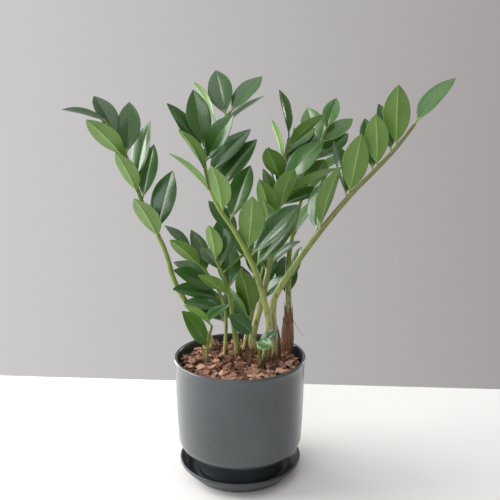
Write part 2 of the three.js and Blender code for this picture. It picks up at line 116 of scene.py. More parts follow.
class ZZ_SaucerSettings(bpy.types.PropertyGroup):
    rim: length("Rim radius", "Outer radius of the saucer", SAUCER_HIGH.x)
    top: length("Height", "Height of the saucer's rim", SAUCER_HIGH.z)
    foot: length("Foot radius", "Radius of the saucer's foot", 0.064)
    floor: length("Floor", "Thickness of the saucer's floor", 0.006)
    # The saucer's glaze is set darker than the pot's: painted shade for its floor, which lies in the shadow
    # under the pot.
    glaze: colour("Glaze", "Colour of the saucer's glaze", (0.036, 0.043, 0.047))


class ZZ_BedSettings(bpy.types.PropertyGroup):
    seed: whole("Seed", "Seed of the scattered bark", 11)
    spacing: length("Spacing", "Least distance between bark chips", 0.0052)
    radius: length("Radius", "Radius of the bark bed", 0.0788)
    dark: colour("Dark bark", "Colour of the darkest bark", (0.030, 0.016, 0.012))
    middle: colour("Bark", "Colour of most of the bark", (0.225, 0.098, 0.062))
    light: colour("Light bark", "Colour of the palest bark", (0.72, 0.43, 0.31))
    soil: colour("Potting mix", "Colour of the potting mix", (0.022, 0.015, 0.011))


class ZZ_StemSettings(bpy.types.PropertyGroup):
    sides: whole("Sides", "Sides of a stem", 20)
    spacing: length("Spacing", "Distance between the rings of a stem", 0.0035)
    green: colour("Green", "Colour of the stems", (0.235, 0.300, 0.055))
    pale: colour("Pale foot", "Colour of the swollen feet", (0.50, 0.44, 0.20))
    mottle: colour("Mottle", "Colour of the dark marks on the stems", (0.075, 0.046, 0.030))
    rhizome: colour("Rhizome", "Colour of the rhizomes", (0.16, 0.095, 0.055))


class ZZ_LeafSettings(bpy.types.PropertyGroup):
    stations: whole("Stations", "Rings along a leaflet", 26)
    thickness: length("Thickness", "Thickness of a leaflet's blade", 0.00062)
    rib: length("Midrib", "Height of the midrib under a leaflet", 0.0009)
    upper_dark: colour("Upper side, dark", "Colour of an old leaflet's upper side", (0.017, 0.070, 0.014))
    upper_light: colour("Upper side, light", "Colour of a young leaflet's upper side", (0.090, 0.235, 0.022))
    under: colour("Underside", "Colour of the undersides", (0.120, 0.255, 0.036))
    midrib: colour("Midrib", "Colour of the midribs", (0.24, 0.37, 0.10))


class ZZ_SheathSettings(bpy.types.PropertyGroup):
    paper: colour("Paper", "Colour of the papery sheaths", (0.30, 0.165, 0.085))
    dark: colour("Dark", "Colour of the sheaths' dark streaks", (0.050, 0.022, 0.018))


class ZZ_StageSettings(bpy.types.PropertyGroup):
    table: colour("Table", "Colour of the table", (0.86, 0.855, 0.84))
    wall_left: colour("Wall, left", "Colour of the room to the left", (0.66, 0.64, 0.65))
    wall_right: colour("Wall, right", "Colour of the room to the right", (0.335, 0.315, 0.31))
    far_edge: length("Far edge", "Distance from the plant to the table's far edge", 0.280)
    skew: length("Skew", "How far the table's far edge is turned at its ends", 0.215)
    lens: number("Lens", "Focal length of the camera in millimetres", 51.84)
    window: number("Window", "Power of the window light", 34.0)
    fill: number("Fill", "Power of the front light", 9.0)


SETTINGS = {
    "zz_pot": ZZ_PotSettings,
    "zz_saucer": ZZ_SaucerSettings,
    "zz_bed": ZZ_BedSettings,
    "zz_stem": ZZ_StemSettings,
    "zz_leaf": ZZ_LeafSettings,
    "zz_sheath": ZZ_SheathSettings,
    "zz_stage": ZZ_StageSettings,
}


def smooth(low, high, x):
    t = min(1.0, max(0.0, (x - low) / (high - low)))
    return t * t * (3 - 2 * t)


def mix(a, b, t):
    return a + (b - a) * t


def scaled(tone, k):
    return [min(1, c * k) for c in tone]


def between(a, b, t):
    return [mix(x, y, t) for x, y in zip(a, b)]


# ---- reading stems and leaflets back from the CAD nodes ---------------------------------------
def welded(name):
    """Points of a CAD node with its doubles merged, in metres, and each point's neighbours."""
    bm = bmesh.new()
    bm.from_mesh(NODES[name].data)
    bmesh.ops.remove_doubles(bm, verts=bm.verts, dist=SAME_POINT)
    bm.verts.ensure_lookup_table()
    points = np.array([v.co for v in bm.verts])
    near = [{e.other_vert(v).index for e in v.link_edges} for v in bm.verts]
    bm.free()
    return points, near


def leaf_rings(points, near, tip):
    """The tip's ring of four and the six below it, down to the stalk, or None."""
    ring = list(near[tip])
    if len(ring) != 4:
        return None
    first = ring[0]
    beside = [v for v in ring[1:] if v in near[first]]
    across = [v for v in ring[1:] if v not in near[first]]
    if len(beside) != 2 or len(across) != 1:
        return None
    ring = [first, beside[0], across[0], beside[1]]
    seen = {tip, *ring}
    rings = [ring]
    for _ in range(6):
        fresh = list(set().union(*(near[v] for v in ring)) - seen)
        if len(fresh) != 4:
            return None
        gap = lambda order: sum(np.linalg.norm(points[a] - points[b]) for a, b in zip(ring, order))
        ring = list(min(itertools.permutations(fresh), key=gap))
        seen.update(ring)
        rings.append(ring)
    return rings


def read_leaf(points, tip, rings):
    """Root, tip, upper direction, half width and bow of a leaflet."""
    widest = points[rings[3]]
    pairs = [(0, 2), (1, 3)]
    spans = [np.linalg.norm(widest[a] - widest[b]) for a, b in pairs]
    wide = pairs[int(np.argmax(spans))]
    thin = pairs[int(np.argmin(spans))]
    up, bows = np.zeros(3), []
    root, end = points[rings[6]].mean(0), points[tip]
    reach = np.linalg.norm(end - root)
    run = (end - root) / reach
    for ring in rings[1:5]:
        ring = points[ring]
        middle = (ring[thin[0]] + ring[thin[1]]) / 2
        up += (ring[wide[0]] + ring[wide[1]]) / 2 - middle
    up -= run * (up @ run)
    up /= np.linalg.norm(up)
    for ring in rings[2:4]:
        ring = points[ring]
        middle = (ring[thin[0]] + ring[thin[1]]) / 2 - root
        s = (middle @ run) / reach
        bows.append((middle @ up) / (reach * 4 * s * (1 - s)))
    return {"root": root, "tip": end, "run": run, "reach": reach, "up": up,
            "half": max(spans) / 2, "bow": float(np.mean(bows))}


def read_leaves(points, near):
    """Every leaflet of a node, and the points that belong to leaflets only."""
    leaves, used = [], set()
    for v, around in enumerate(near):
        if len(around) != 4:
            continue
        if np.linalg.norm(points[list(around)].mean(0) - points[v]) < TIP_REACH:
            continue
        rings = leaf_rings(points, near, v)
        if rings is None:
            continue
        leaves.append(read_leaf(points, v, rings))
        used.add(v)
        for ring in rings[:6]:
            used.update(ring)
    leaves.sort(key=lambda leaf: (round(leaf["root"][2], 4), round(leaf["tip"][0], 4)))
    return leaves, used


def read_stem(points, near, used):
    """Centres and radii of a stem's rings, from the foot up."""
    caps = [v for v, around in enumerate(near) if len(around) == 8 and v not in used
            and np.linalg.norm(points[list(around)].mean(0) - points[v]) < FLAT_CAP]
    foot = min(caps, key=lambda v: points[v][2])
    ring = near[foot]
    seen = {foot, *ring, *used}
    centres, radii = [], []
    while len(ring) == 8:
        here = points[list(ring)]
        centres.append(here.mean(0))
        radii.append(float(np.linalg.norm(here - here.mean(0), axis=1).mean()))
        ring = set().union(*(near[v] for v in ring)) - seen
        seen.update(ring)
    return np.array(centres), np.array(radii)


PLANT = {}
for key in STEM_KEYS:
    points, near = welded("frond_" + key if key in JOINED_FRONDS else "stem_" + key)
    leaves, used = read_leaves(points, near)
    PLANT[key] = {"leaves": leaves, "stem": read_stem(points, near, used)}
LEAF_OF = {}
for name in SINGLE_LEAVES:
    points, near = welded(name)
    found, _ = read_leaves(points, near)
    if len(found) != 1:
        raise RuntimeError(f"{name} has {len(found)} leaflets where it should have one")
    LEAF_OF[name] = found[0]


def feet():
    """Where each stem passes the top of the bark bed: x, y and radius."""
    out = []
    for key in STEM_KEYS:
        centres, radii = PLANT[key]["stem"]
        heights = centres[:, 2]
        out.append((float(np.interp(BED_HIGH.z, heights, centres[:, 0])),
                    float(np.interp(BED_HIGH.z, heights, centres[:, 1])),
                    float(np.interp(BED_HIGH.z, heights, radii))))
    return out


# ---- meshes ---------------------------------------------------------------------------------
def link(name, mesh):
    piece = bpy.data.objects.new(name, mesh)
    bpy.context.scene.collection.objects.link(piece)
    return piece


def new_mesh(name, verts, faces=(), edges=()):
    mesh = bpy.data.meshes.new(name)
    mesh.from_pydata(verts, edges, faces)
    return mesh


def attribute(mesh, name, values):
    """Stores a number or a vector for every point of a mesh."""
    values = np.asarray(values, np.float32)
    kind, field = ("FLOAT", "value") if values.ndim == 1 else ("FLOAT_VECTOR", "vector")
    mesh.attributes.new(name, kind, "POINT").data.foreach_set(field, values.ravel())


def place(piece, slot, *nodes):
    """The last calls on a finished piece: it is attached to the root body and its CAD nodes are hidden."""
    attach(piece, "root")
    if nodes:
        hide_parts(*nodes)
    return piece


def shade_smooth(mesh):
    mesh.polygons.foreach_set("use_smooth", [True] * len(mesh.polygons))


def outward(mesh):
    """Doubles merged and faces turned outwards on a closed mesh."""
    bm = bmesh.new()
    bm.from_mesh(mesh)
    bmesh.ops.remove_doubles(bm, verts=bm.verts, dist=1e-6)
    bmesh.ops.recalc_face_normals(bm, faces=bm.faces)
    bm.to_mesh(mesh)
    bm.free()
    return mesh


def arc(cr, cz, radius, start, stop, steps):
    out = []
    for i in range(steps + 1):
        a = math.radians(start + (stop - start) * i / steps)
        out.append((cr + radius * math.cos(a), cz + radius * math.sin(a)))
    return out


def lathe(name, profile, turns):
    """A closed turned mesh. The profile starts and ends on the axis, or closes on itself."""
    profile = [(max(0.0, r), z) for r, z in profile]
    ring_shaped = profile[0][0] > 1e-6
    verts, faces, rows = [], [], []
    for r, z in profile:
        if r < 1e-6:
            rows.append([len(verts)] * turns)
            verts.append((0, 0, z))
            continue
        rows.append(list(range(len(verts), len(verts) + turns)))
        for i in range(turns):
            a = 2 * math.pi * i / turns
            verts.append((r * math.cos(a), r * math.sin(a), z))
    pairs = list(zip(rows, rows[1:]))
    if ring_shaped:
        pairs.append((rows[-1], rows[0]))
    for low, high in pairs:
        for i in range(turns):
            j = (i + 1) % turns
            face = list(dict.fromkeys((low[i], low[j], high[j], high[i])))
            if len(face) > 2:
                faces.append(face)
    mesh = new_mesh(name, verts, faces)
    shade_smooth(outward(mesh))
    return mesh


def dense(profile, step=0.006):
    """More points on the long straight stretches of a profile."""
    out = [profile[0]]
    for a, b in zip(profile, profile[1:]):
        n = max(1, int(math.dist(a, b) / step))
        out += [(mix(a[0], b[0], i / n), mix(a[1], b[1], i / n)) for i in range(1, n + 1)]
    return out


def evaluated_mesh(piece, name):
    """The piece's mesh with its modifiers in it, and the modifiers removed."""
    graph = bpy.context.evaluated_depsgraph_get()
    mesh = bpy.data.meshes.new_from_object(
        piece.evaluated_get(graph), preserve_all_data_layers=True, depsgraph=graph)
    mesh.name = name
    piece.modifiers.clear()
    piece.data = mesh
    return mesh


def run_tree(piece, tree, **values):
    """Runs a geometry tree on a piece, with its inputs set by name, and keeps the mesh."""
    modifier = piece.modifiers.new(tree.name, "NODES")
    modifier.node_group = tree
    for item in tree.interface.items_tree:
        if item.item_type == "SOCKET" and item.in_out == "INPUT" and item.name in values:
            modifier[item.identifier] = values[item.name]
    mesh = evaluated_mesh(piece, piece.name)
    if not mesh.polygons:
        raise RuntimeError(f"{piece.name} came out empty")
    return mesh


# ---- geometry trees -------------------------------------------------------------------------
class Nodes:
    """A node tree with short ways to add nodes and their links."""

    def __init__(self, tree):
        self.tree = tree

    def put(self, kind, inputs=None, **settings):
        """Adds a node. Inputs are values or sockets, by name or by number."""
        node = self.tree.nodes.new(kind)
        for name, value in settings.items():
            setattr(node, name, value)
        for key, value in (inputs or {}).items():
            if isinstance(value, bpy.types.NodeSocket):
                self.tree.links.new(value, node.inputs[key])
            else:
                node.inputs[key].default_value = value
        return node

    def first(self, kind, inputs=None, **settings):
        """Adds a node and gives its first output."""
        return self.put(kind, inputs, **settings).outputs[0]

    def math(self, operation, *values):
        return self.first("ShaderNodeMath", dict(enumerate(values)), operation=operation)

    def vector(self, operation, *values):
        return self.first("ShaderNodeVectorMath", dict(enumerate(values)), operation=operation)

    def times(self, a, b):
        return self.math("MULTIPLY", a, b)

    def plus(self, a, b):
        return self.math("ADD", a, b)

    def map(self, value, low, high, to_low=0.0, to_high=1.0, **settings):
        return self.first("ShaderNodeMapRange", {"Value": value, "From Min": low, "From Max": high,
                                                 "To Min": to_low, "To Max": to_high}, **settings)

    def noise(self, place, scale, **inputs):
        return self.put("ShaderNodeTexNoise", {"Vector": place, "Scale": scale, **inputs}).outputs["Fac"]

    def blend(self, factor, a, b):
        """Mixes two colours, each a socket or three numbers."""
        a, b = (c if isinstance(c, bpy.types.NodeSocket) else (*c, 1.0) for c in (a, b))
        return self.put("ShaderNodeMix", {0: factor, 6: a, 7: b}, data_type="RGBA").outputs[2]


class Tree(Nodes):
    """A node group with named sockets."""

    def __init__(self, name, kind, inputs, outputs):
        super().__init__(bpy.data.node_groups.new(name, kind))
        for in_out, sockets in (("INPUT", inputs), ("OUTPUT", outputs)):
            for label, socket, *value in sockets:
                made = self.tree.interface.new_socket(label, in_out=in_out, socket_type="NodeSocket" + socket)
                if value:
                    made.default_value = value[0]
        self.start = self.put("NodeGroupInput")
        self.end = self.put("NodeGroupOutput")

    def given(self, label):
        return self.start.outputs[label]

    def give(self, **sockets):
        """Links the group's outputs and hands back the group."""
        for label, socket in sockets.items():
            self.tree.links.new(socket, self.end.inputs[label.replace("_", " ")])
        return self.tree

    def finished(self, label, geometry):
        """Ends a geometry tree: real meshes with their material set."""
        real = self.first("GeometryNodeRealizeInstances", {"Geometry": geometry})
        done = self.first("GeometryNodeSetMaterial", {"Geometry": real, "Material": self.given("Finish")})
        return self.give(**{label: done})


def stem_tree():
    """A tube round a line of points, as thick as their attribute girth."""
    t = Tree("stem_tube", "GeometryNodeTree",
             [("Line", "Geometry"), ("Sides", "Int", 16), ("Spacing", "Float", 0.004),
              ("Finish", "Material")],
             [("Tube", "Geometry")])
    curve = t.first("GeometryNodeMeshToCurve", {"Mesh": t.given("Line")})
    spline = t.first("GeometryNodeCurveSplineType", {"Curve": curve}, spline_type="CATMULL_ROM")
    points = t.first("GeometryNodeResampleCurve", {"Curve": spline, "Length": t.given("Spacing")},
                     mode="LENGTH")
    along = t.put("GeometryNodeSplineParameter").outputs["Factor"]
    rise = t.first("GeometryNodeStoreNamedAttribute", {"Geometry": points, "Name": "rise", "Value": along},
                   data_type="FLOAT", domain="POINT")
    girth = t.first("GeometryNodeInputNamedAttribute", {"Name": "girth"}, data_type="FLOAT")
    thick = t.first("GeometryNodeSetCurveRadius", {"Curve": rise, "Radius": girth})
    circle = t.first("GeometryNodeCurvePrimitiveCircle", {"Resolution": t.given("Sides"), "Radius": 1.0})
    tube = t.put("GeometryNodeCurveToMesh", {"Curve": thick, "Profile Curve": circle, "Fill Caps": True})
    if "Scale" in tube.inputs:
        t.tree.links.new(girth, tube.inputs["Scale"])
    soft = t.first("GeometryNodeSetShadeSmooth", {"Geometry": tube.outputs[0], "Shade Smooth": True})
    return t.finished("Tube", soft)


def bark_tree():
    """Bark chips strewn over a ground, smaller towards the pot's wall, with a tone for each chip."""
    t = Tree("bark_scatter", "GeometryNodeTree",
             [("Ground", "Geometry"), ("Chips", "Collection"), ("Spacing", "Float", 0.005),
              ("Seed", "Int", 1),
              ("Smallest", "Float", 0.6), ("Largest", "Float", 1.2), ("Tilt", "Float", 0.4),
              ("Full size within", "Float", 0.062), ("Wall", "Float", 0.078), ("Finish", "Material")],
             [("Bark", "Geometry")])
    spots = t.put("GeometryNodeDistributePointsOnFaces",
                  {"Mesh": t.given("Ground"), "Distance Min": t.given("Spacing"), "Density Max": 60000.0,
                   "Seed": t.given("Seed")}, distribute_method="POISSON")
    kinds = t.first("GeometryNodeCollectionInfo",
                    {"Collection": t.given("Chips"), "Separate Children": True, "Reset Children": True})

    def chance(low, high, salt, kind="FLOAT"):
        small, large, result = {"FLOAT": (2, 3, 1), "FLOAT_VECTOR": (0, 1, 0)}[kind]
        seed = t.plus(t.given("Seed"), salt)
        node = t.put("FunctionNodeRandomValue", {"Seed": seed, small: low, large: high}, data_type=kind)
        return node.outputs[result]

    tilt = t.given("Tilt")
    back = t.times(tilt, -1.0)
    low = t.first("ShaderNodeCombineXYZ", {"X": back, "Y": back, "Z": 0.0})
    high = t.first("ShaderNodeCombineXYZ", {"X": tilt, "Y": tilt, "Z": 2 * math.pi})
    turn = chance(low, high, 3, "FLOAT_VECTOR")
    size = chance(t.given("Smallest"), t.given("Largest"), 5)
    flat = t.vector("MULTIPLY", t.first("GeometryNodeInputPosition"), (1, 1, 0))
    out = t.put("ShaderNodeVectorMath", {0: flat}, operation="LENGTH").outputs["Value"]
    shrink = t.map(out, t.given("Full size within"), t.given("Wall"), 1.0, 0.5)
    strewn = t.first("GeometryNodeInstanceOnPoints",
                     {"Points": spots.outputs["Points"], "Instance": kinds, "Pick Instance": True,
                      "Rotation": turn, "Scale": t.times(size, shrink)})
    toned = t.first("GeometryNodeStoreNamedAttribute",
                    {"Geometry": strewn, "Name": "tone", "Value": chance(0.0, 1.0, 9)},
                    data_type="FLOAT", domain="INSTANCE")
    return t.finished("Bark", toned)


TREES = {}


def tree_named(name):
    makers = {"stem_tube": stem_tree, "bark_scatter": bark_tree}
    if name not in TREES:
        TREES[name] = makers[name]()
    return TREES[name]


# ---- finishes -------------------------------------------------------------------------------
def speckle_group():
    """Fine grain: a mask that wanders over the surface and a height for the bump."""
    t = Tree("surface_grain", "ShaderNodeTree",
             [("Place", "Vector"), ("Scale", "Float", 400.0), ("Drift", "Float", 12.0)],
             [("Cloud", "Float"), ("Fine", "Float"), ("Specks", "Float")])
    where, scale = t.given("Place"), t.given("Scale")
    specks = t.put("ShaderNodeTexVoronoi", {"Vector": where, "Scale": scale})
    return t.give(Cloud=t.noise(where, t.given("Drift"), Detail=4.0),
                  Fine=t.noise(where, scale, Detail=3.0, Roughness=0.6),
                  Specks=t.map(specks.outputs["Distance"], 0.06, 0.2, 1.0, 0.0))


def streak_group():
    """Long streaks along Z of the place given: wood grain, fibres and dried paper."""
    t = Tree("streaks", "ShaderNodeTree",
             [("Place", "Vector"), ("Across", "Float", 300.0), ("Along", "Float", 30.0)],
             [("Streak", "Float"), ("Fleck", "Float")])
    across = t.given("Across")
    stretch = t.first("ShaderNodeCombineXYZ", {"X": t.given("Along"), "Y": across, "Z": across})
    where = t.vector("MULTIPLY", t.given("Place"), stretch)
    return t.give(Streak=t.noise(where, 1.0, Detail=5.0, Roughness=0.65),
                  Fleck=t.noise(where, 3.1, Detail=2.0))


def vein_group():
    """Veins of a leaflet from its own map: a midrib mask, side veins and the stalk end."""
    t = Tree("leaf_veins", "ShaderNodeTree",
             [("Map", "Vector"), ("Rib width", "Float", 0.05), ("Pairs", "Float", 9.0)],
             [("Midrib", "Float"), ("Side veins", "Float"), ("Stalk", "Float")])
    parts = t.put("ShaderNodeSeparateXYZ", {0: t.given("Map")})
    aside = t.math("ABSOLUTE", t.math("SUBTRACT", parts.outputs["X"], 0.5))
    soft = {"interpolation_type": "SMOOTHSTEP"}
    rib = t.map(aside, t.times(t.given("Rib width"), 0.35), t.given("Rib width"), 1.0, 0.0, **soft)
    slant = t.math("MULTIPLY_ADD", aside, -0.42, parts.outputs["Y"])
    bent = t.math("MULTIPLY_ADD", t.noise(t.given("Map"), 5.0, Detail=1.0), 0.06, slant)
    saw = t.math("PINGPONG", t.times(bent, t.given("Pairs")), 1.0)
    return t.give(Midrib=rib, Side_veins=t.map(saw, 0.0, 0.22, 1.0, 0.0, **soft),
                  Stalk=t.map(parts.outputs["Y"], 0.035, 0.14, 1.0, 0.0, **soft))


GROUPS = {}


def group(name):
    makers = {"surface_grain": speckle_group, "streaks": streak_group, "leaf_veins": vein_group}
    if name not in GROUPS:
        GROUPS[name] = makers[name]()
    return GROUPS[name]


class Finish(Nodes):
    """A material with a Principled BSDF, and short ways to place shared groups in it."""

    def __init__(self, name, **constants):
        self.material = bpy.data.materials.new(name)
        self.material.use_nodes = True
        super().__init__(self.material.node_tree)
        self.shader = next(n for n in self.tree.nodes if n.type == "BSDF_PRINCIPLED")
        for label, value in constants.items():
            self.shader.inputs[label.replace("_", " ")].default_value = value

    def shared(self, name, **inputs):
        named = {label.replace("_", " "): value for label, value in inputs.items()}
        return self.put("ShaderNodeGroup", named, node_tree=group(name))

    def place(self):
        return self.put("ShaderNodeTexCoord").outputs["Object"]

    def own(self, name):
        """The piece's own attribute: its number and its vector."""
        return self.put("ShaderNodeAttribute", attribute_name=name)

    def grain(self, scale, drift):
        """Cloud, fine grain and specks of the piece's surface."""
        node = self.shared("surface_grain", Place=self.place(), Scale=scale, Drift=drift)
        return [node.outputs[label] for label in ("Cloud", "Fine", "Specks")]

    def streaks(self, place, across, along):
        """Long streaks and short flecks."""
        node = self.shared("streaks", Place=place, Across=across, Along=along)
        return node.outputs["Streak"], node.outputs["Fleck"]

    def paint(self, colour=None, roughness=None, height=None, distance=0.0002, strength=0.6):
        if colour is not None:
            self.tree.links.new(colour, self.shader.inputs["Base Color"])
        if roughness is not None:
            self.tree.links.new(roughness, self.shader.inputs["Roughness"])
        if height is not None:
            bump = self.put("ShaderNodeBump", {"Height": height, "Distance": distance, "Strength": strength})
            self.tree.links.new(bump.outputs[0], self.shader.inputs["Normal"])
        return self.material


def glaze_finish(name, base, worn, gloss, coat):
    f = Finish(name, Coat_Weight=coat, Coat_Roughness=0.20)
    cloud, fine, specks = f.grain(1500.0, 14.0)
    cloudy = f.blend(f.map(cloud, 0.35, 0.7), scaled(base, 0.86), scaled(base, 1.12))
    specked = f.blend(f.times(specks, 0.10), cloudy, worn)
    rubbed, scuffs, _ = f.grain(260.0, 46.0)
    rub = f.map(rubbed, 0.63, 0.80, 0.0, 0.22)
    height = f.plus(fine, f.times(scuffs, 0.6))
    return f.paint(f.blend(rub, specked, worn), f.map(cloud, 0.3, 0.7, gloss - 0.05, gloss + 0.07),
                   height, 0.00012, 0.35)


def bark_finish(bed):
    f = Finish("bark", Specular_IOR_Level=0.25)
    tone = f.own("tone")
    shifted = f.vector("ADD", f.own("fibre").outputs["Vector"], tone.outputs["Vector"])
    streak, fleck = f.streaks(shifted, 900.0, 90.0)
    cloud, fine, _ = f.grain(900.0, 120.0)
    ramp = f.put("ShaderNodeValToRGB", {0: tone.outputs["Fac"]})
    stops = ramp.color_ramp.elements
    stops[0].position, stops[0].color = 0.05, (*bed.dark, 1)
    stops[1].position, stops[1].color = 1.0, (*bed.light, 1)
    for at, c in ((0.30, bed.middle), (0.66, between(bed.middle, bed.light, 0.42))):
        stops.new(at).color = (*c, 1)
    dark = f.blend(f.map(streak, 0.40, 0.58, 0.45, 0.0), ramp.outputs[0], bed.dark)
    pale = f.blend(f.map(fleck, 0.55, 0.75, 0.0, 0.35), dark, bed.light)
    dusty = f.blend(f.map(cloud, 0.45, 0.7, 0.0, 0.12), pale, bed.middle)
    return f.paint(dusty, f.map(fleck, 0.3, 0.7, 0.72, 0.95), f.plus(streak, f.times(fine, 0.5)), 0.0006, 0.8)


def soil_finish(bed):
    f = Finish("potting_mix", Specular_IOR_Level=0.2)
    cloud, fine, specks = f.grain(520.0, 150.0)
    crumbs = f.blend(f.map(cloud, 0.4, 0.65), bed.soil, between(bed.soil, bed.middle, 0.4))
    specked = f.blend(f.times(specks, 0.6), crumbs, bed.middle)
    return f.paint(specked, f.map(fine, 0.3, 0.7, 0.8, 1.0), fine, 0.0015, 0.9)


def rhizome_finish(stem):
    f = Finish("rhizome", Specular_IOR_Level=0.3)
    cloud, fine, specks = f.grain(420.0, 80.0)
    base = f.blend(f.map(cloud, 0.4, 0.65), stem.mottle, stem.rhizome)
    flaky = f.blend(f.times(specks, 0.5), base, stem.pale)
    return f.paint(flaky, f.map(fine, 0.3, 0.7, 0.6, 0.9), fine, 0.001, 0.8)


def stem_finish(stem):
    f = Finish("stem_skin", Specular_IOR_Level=0.45, Coat_Weight=0.15, Coat_Roughness=0.25)
    young, woody = (0.11, 0.23, 0.045), (0.21, 0.15, 0.07)
    rise, warm = f.own("rise").outputs["Fac"], f.own("warm").outputs["Fac"]
    cloud, fine, _ = f.grain(330.0, 60.0)
    marks = f.noise(f.vector("MULTIPLY", f.place(), (260, 260, 70)), 1.0, Detail=4.0, Roughness=0.55)
    shaded = [c * k for c, k in zip(stem.green, (0.72, 0.84, 0.8))]
    green = f.blend(f.map(cloud, 0.35, 0.7), stem.green, shaded)
    tip = f.blend(f.map(rise, 0.55, 1.0, 0.0, 0.6), green, young)
    brown = f.blend(f.times(warm, f.map(cloud, 0.3, 0.65, 0.45, 1.0)), tip, woody)
    foot = f.blend(f.map(rise, 0.06, 0.36, 0.95, 0.0), brown, stem.pale)
    much = f.map(rise, 0.03, 0.55, 0.95, 0.14)
    mottled = f.blend(f.times(f.map(marks, 0.52, 0.64), much), foot, stem.mottle)
    return f.paint(mottled, f.map(fine, 0.3, 0.7, 0.34, 0.5), f.plus(fine, marks), 0.0002, 0.4)


def leaf_finish(name, leaf, upper):
    coat, blur = (0.45, 0.10) if upper else (0.06, 0.4)
    f = Finish(name, Coat_Weight=coat, Coat_Roughness=blur)
    own_map = f.first("ShaderNodeUVMap", uv_map="blade")
    veins = f.shared("leaf_veins", Map=own_map, Rib_width=0.018 if upper else 0.032, Pairs=18.0)
    midrib, side_veins, stalk = (veins.outputs[label] for label in ("Midrib", "Side veins", "Stalk"))
    cloud, fine, _ = f.grain(900.0, 38.0)
    tint = f.own("tint").outputs["Fac"]
    if upper:
        base = f.blend(tint, leaf.upper_dark, leaf.upper_light)
        cloudy = f.blend(f.map(cloud, 0.35, 0.7, 0.0, 0.35), base, scaled(leaf.upper_dark, 1.6))
        veined = f.blend(f.times(side_veins, 0.10), cloudy, leaf.midrib)
        ribbed = f.blend(f.times(midrib, 0.34), veined, leaf.midrib)
        rough = f.map(cloud, 0.3, 0.7, 0.26, 0.38)
        height = f.plus(f.times(side_veins, -0.5), f.times(fine, 0.16))
        distance = 0.00022
    else:
        base = f.blend(tint, scaled(leaf.under, 0.72), scaled(leaf.under, 1.25))
        cloudy = f.blend(f.map(cloud, 0.35, 0.7, 0.0, 0.3), base, leaf.midrib)
        veined = f.blend(f.times(side_veins, 0.22), cloudy, leaf.midrib)
        ribbed = f.blend(f.times(midrib, 0.8), veined, scaled(leaf.midrib, 1.35))
        rough = f.map(cloud, 0.3, 0.7, 0.36, 0.5)
        height = f.plus(f.times(side_veins, 0.7), f.times(fine, 0.2))
        distance = 0.0003
    stalked = f.blend(f.times(stalk, 0.85), ribbed, (0.24, 0.33, 0.08))
    return f.paint(stalked, rough, height, distance, 0.3)


def sheath_finish(sheath):
    f = Finish("sheath_paper", Specular_IOR_Level=0.3)
    streak, fleck = f.streaks(f.own("fibre").outputs["Vector"], 1100.0, 45.0)
    cloud, _, _ = f.grain(500.0, 90.0)
    paper = f.blend(f.map(streak, 0.36, 0.60), sheath.dark, sheath.paper)
    pale = f.blend(f.map(fleck, 0.55, 0.8, 0.0, 0.6), paper, scaled(sheath.paper, 1.45))
    stained = f.blend(f.map(cloud, 0.48, 0.66, 0.0, 0.75), pale, sheath.dark)
    return f.paint(stained, f.map(fleck, 0.3, 0.7, 0.55, 0.85), streak, 0.0005, 0.7)


FINISHES = {}


def finish(name):
    """Each material is made once, from the settings."""
    s = bpy.context.scene
    makers = {
        "pot": lambda: glaze_finish("pot_glaze", s.zz_pot.glaze, s.zz_pot.worn, 0.32, 0.55),
        # The saucer's darker glaze colour is painted shade for its floor under the pot.
        "saucer": lambda: glaze_finish("saucer_glaze", s.zz_saucer.glaze, s.zz_pot.worn, 0.42, 0.12),
        "bark": lambda: bark_finish(s.zz_bed),
        "soil": lambda: soil_finish(s.zz_bed),
        "rhizome": lambda: rhizome_finish(s.zz_stem),
        "stem": lambda: stem_finish(s.zz_stem),
        "upper": lambda: leaf_finish("leaf_upper_side", s.zz_leaf, True),
        "under": lambda: leaf_finish("leaf_underside", s.zz_leaf, False),
        "sheath": lambda: sheath_finish(s.zz_sheath),
    }
    if name not in FINISHES:
        FINISHES[name] = makers[name]()
    return FINISHES[name]


# ---- leaflets -------------------------------------------------------------------------------
OUTLINE_S = [0.0, 0.03, 0.06, 0.11, 0.18, 0.26, 0.35, 0.44, 0.53, 0.63, 0.73, 0.82, 0.90, 0.955, 0.985, 1.0]
OUTLINE_W = [0.0, 0.0, 0.10, 0.29, 0.53, 0.75, 0.91, 0.985, 1.0, 0.945, 0.82, 0.63, 0.39, 0.19, 0.075, 0.0]
HALF_ACROSS = [0.035, 0.1, 0.22, 0.38, 0.56, 0.74, 0.88, 0.965, 1]
ACROSS = [-u for u in reversed(HALF_ACROSS)] + [0] + HALF_ACROSS
STALK = 1.25 * MM


def leaf_stations(count):
    """Places along a leaflet from its stalk to its tip, closer together at the ends."""
    t = np.linspace(0, 1, count)
    return 0.5 * (t + 0.5 - 0.5 * np.cos(np.pi * t))


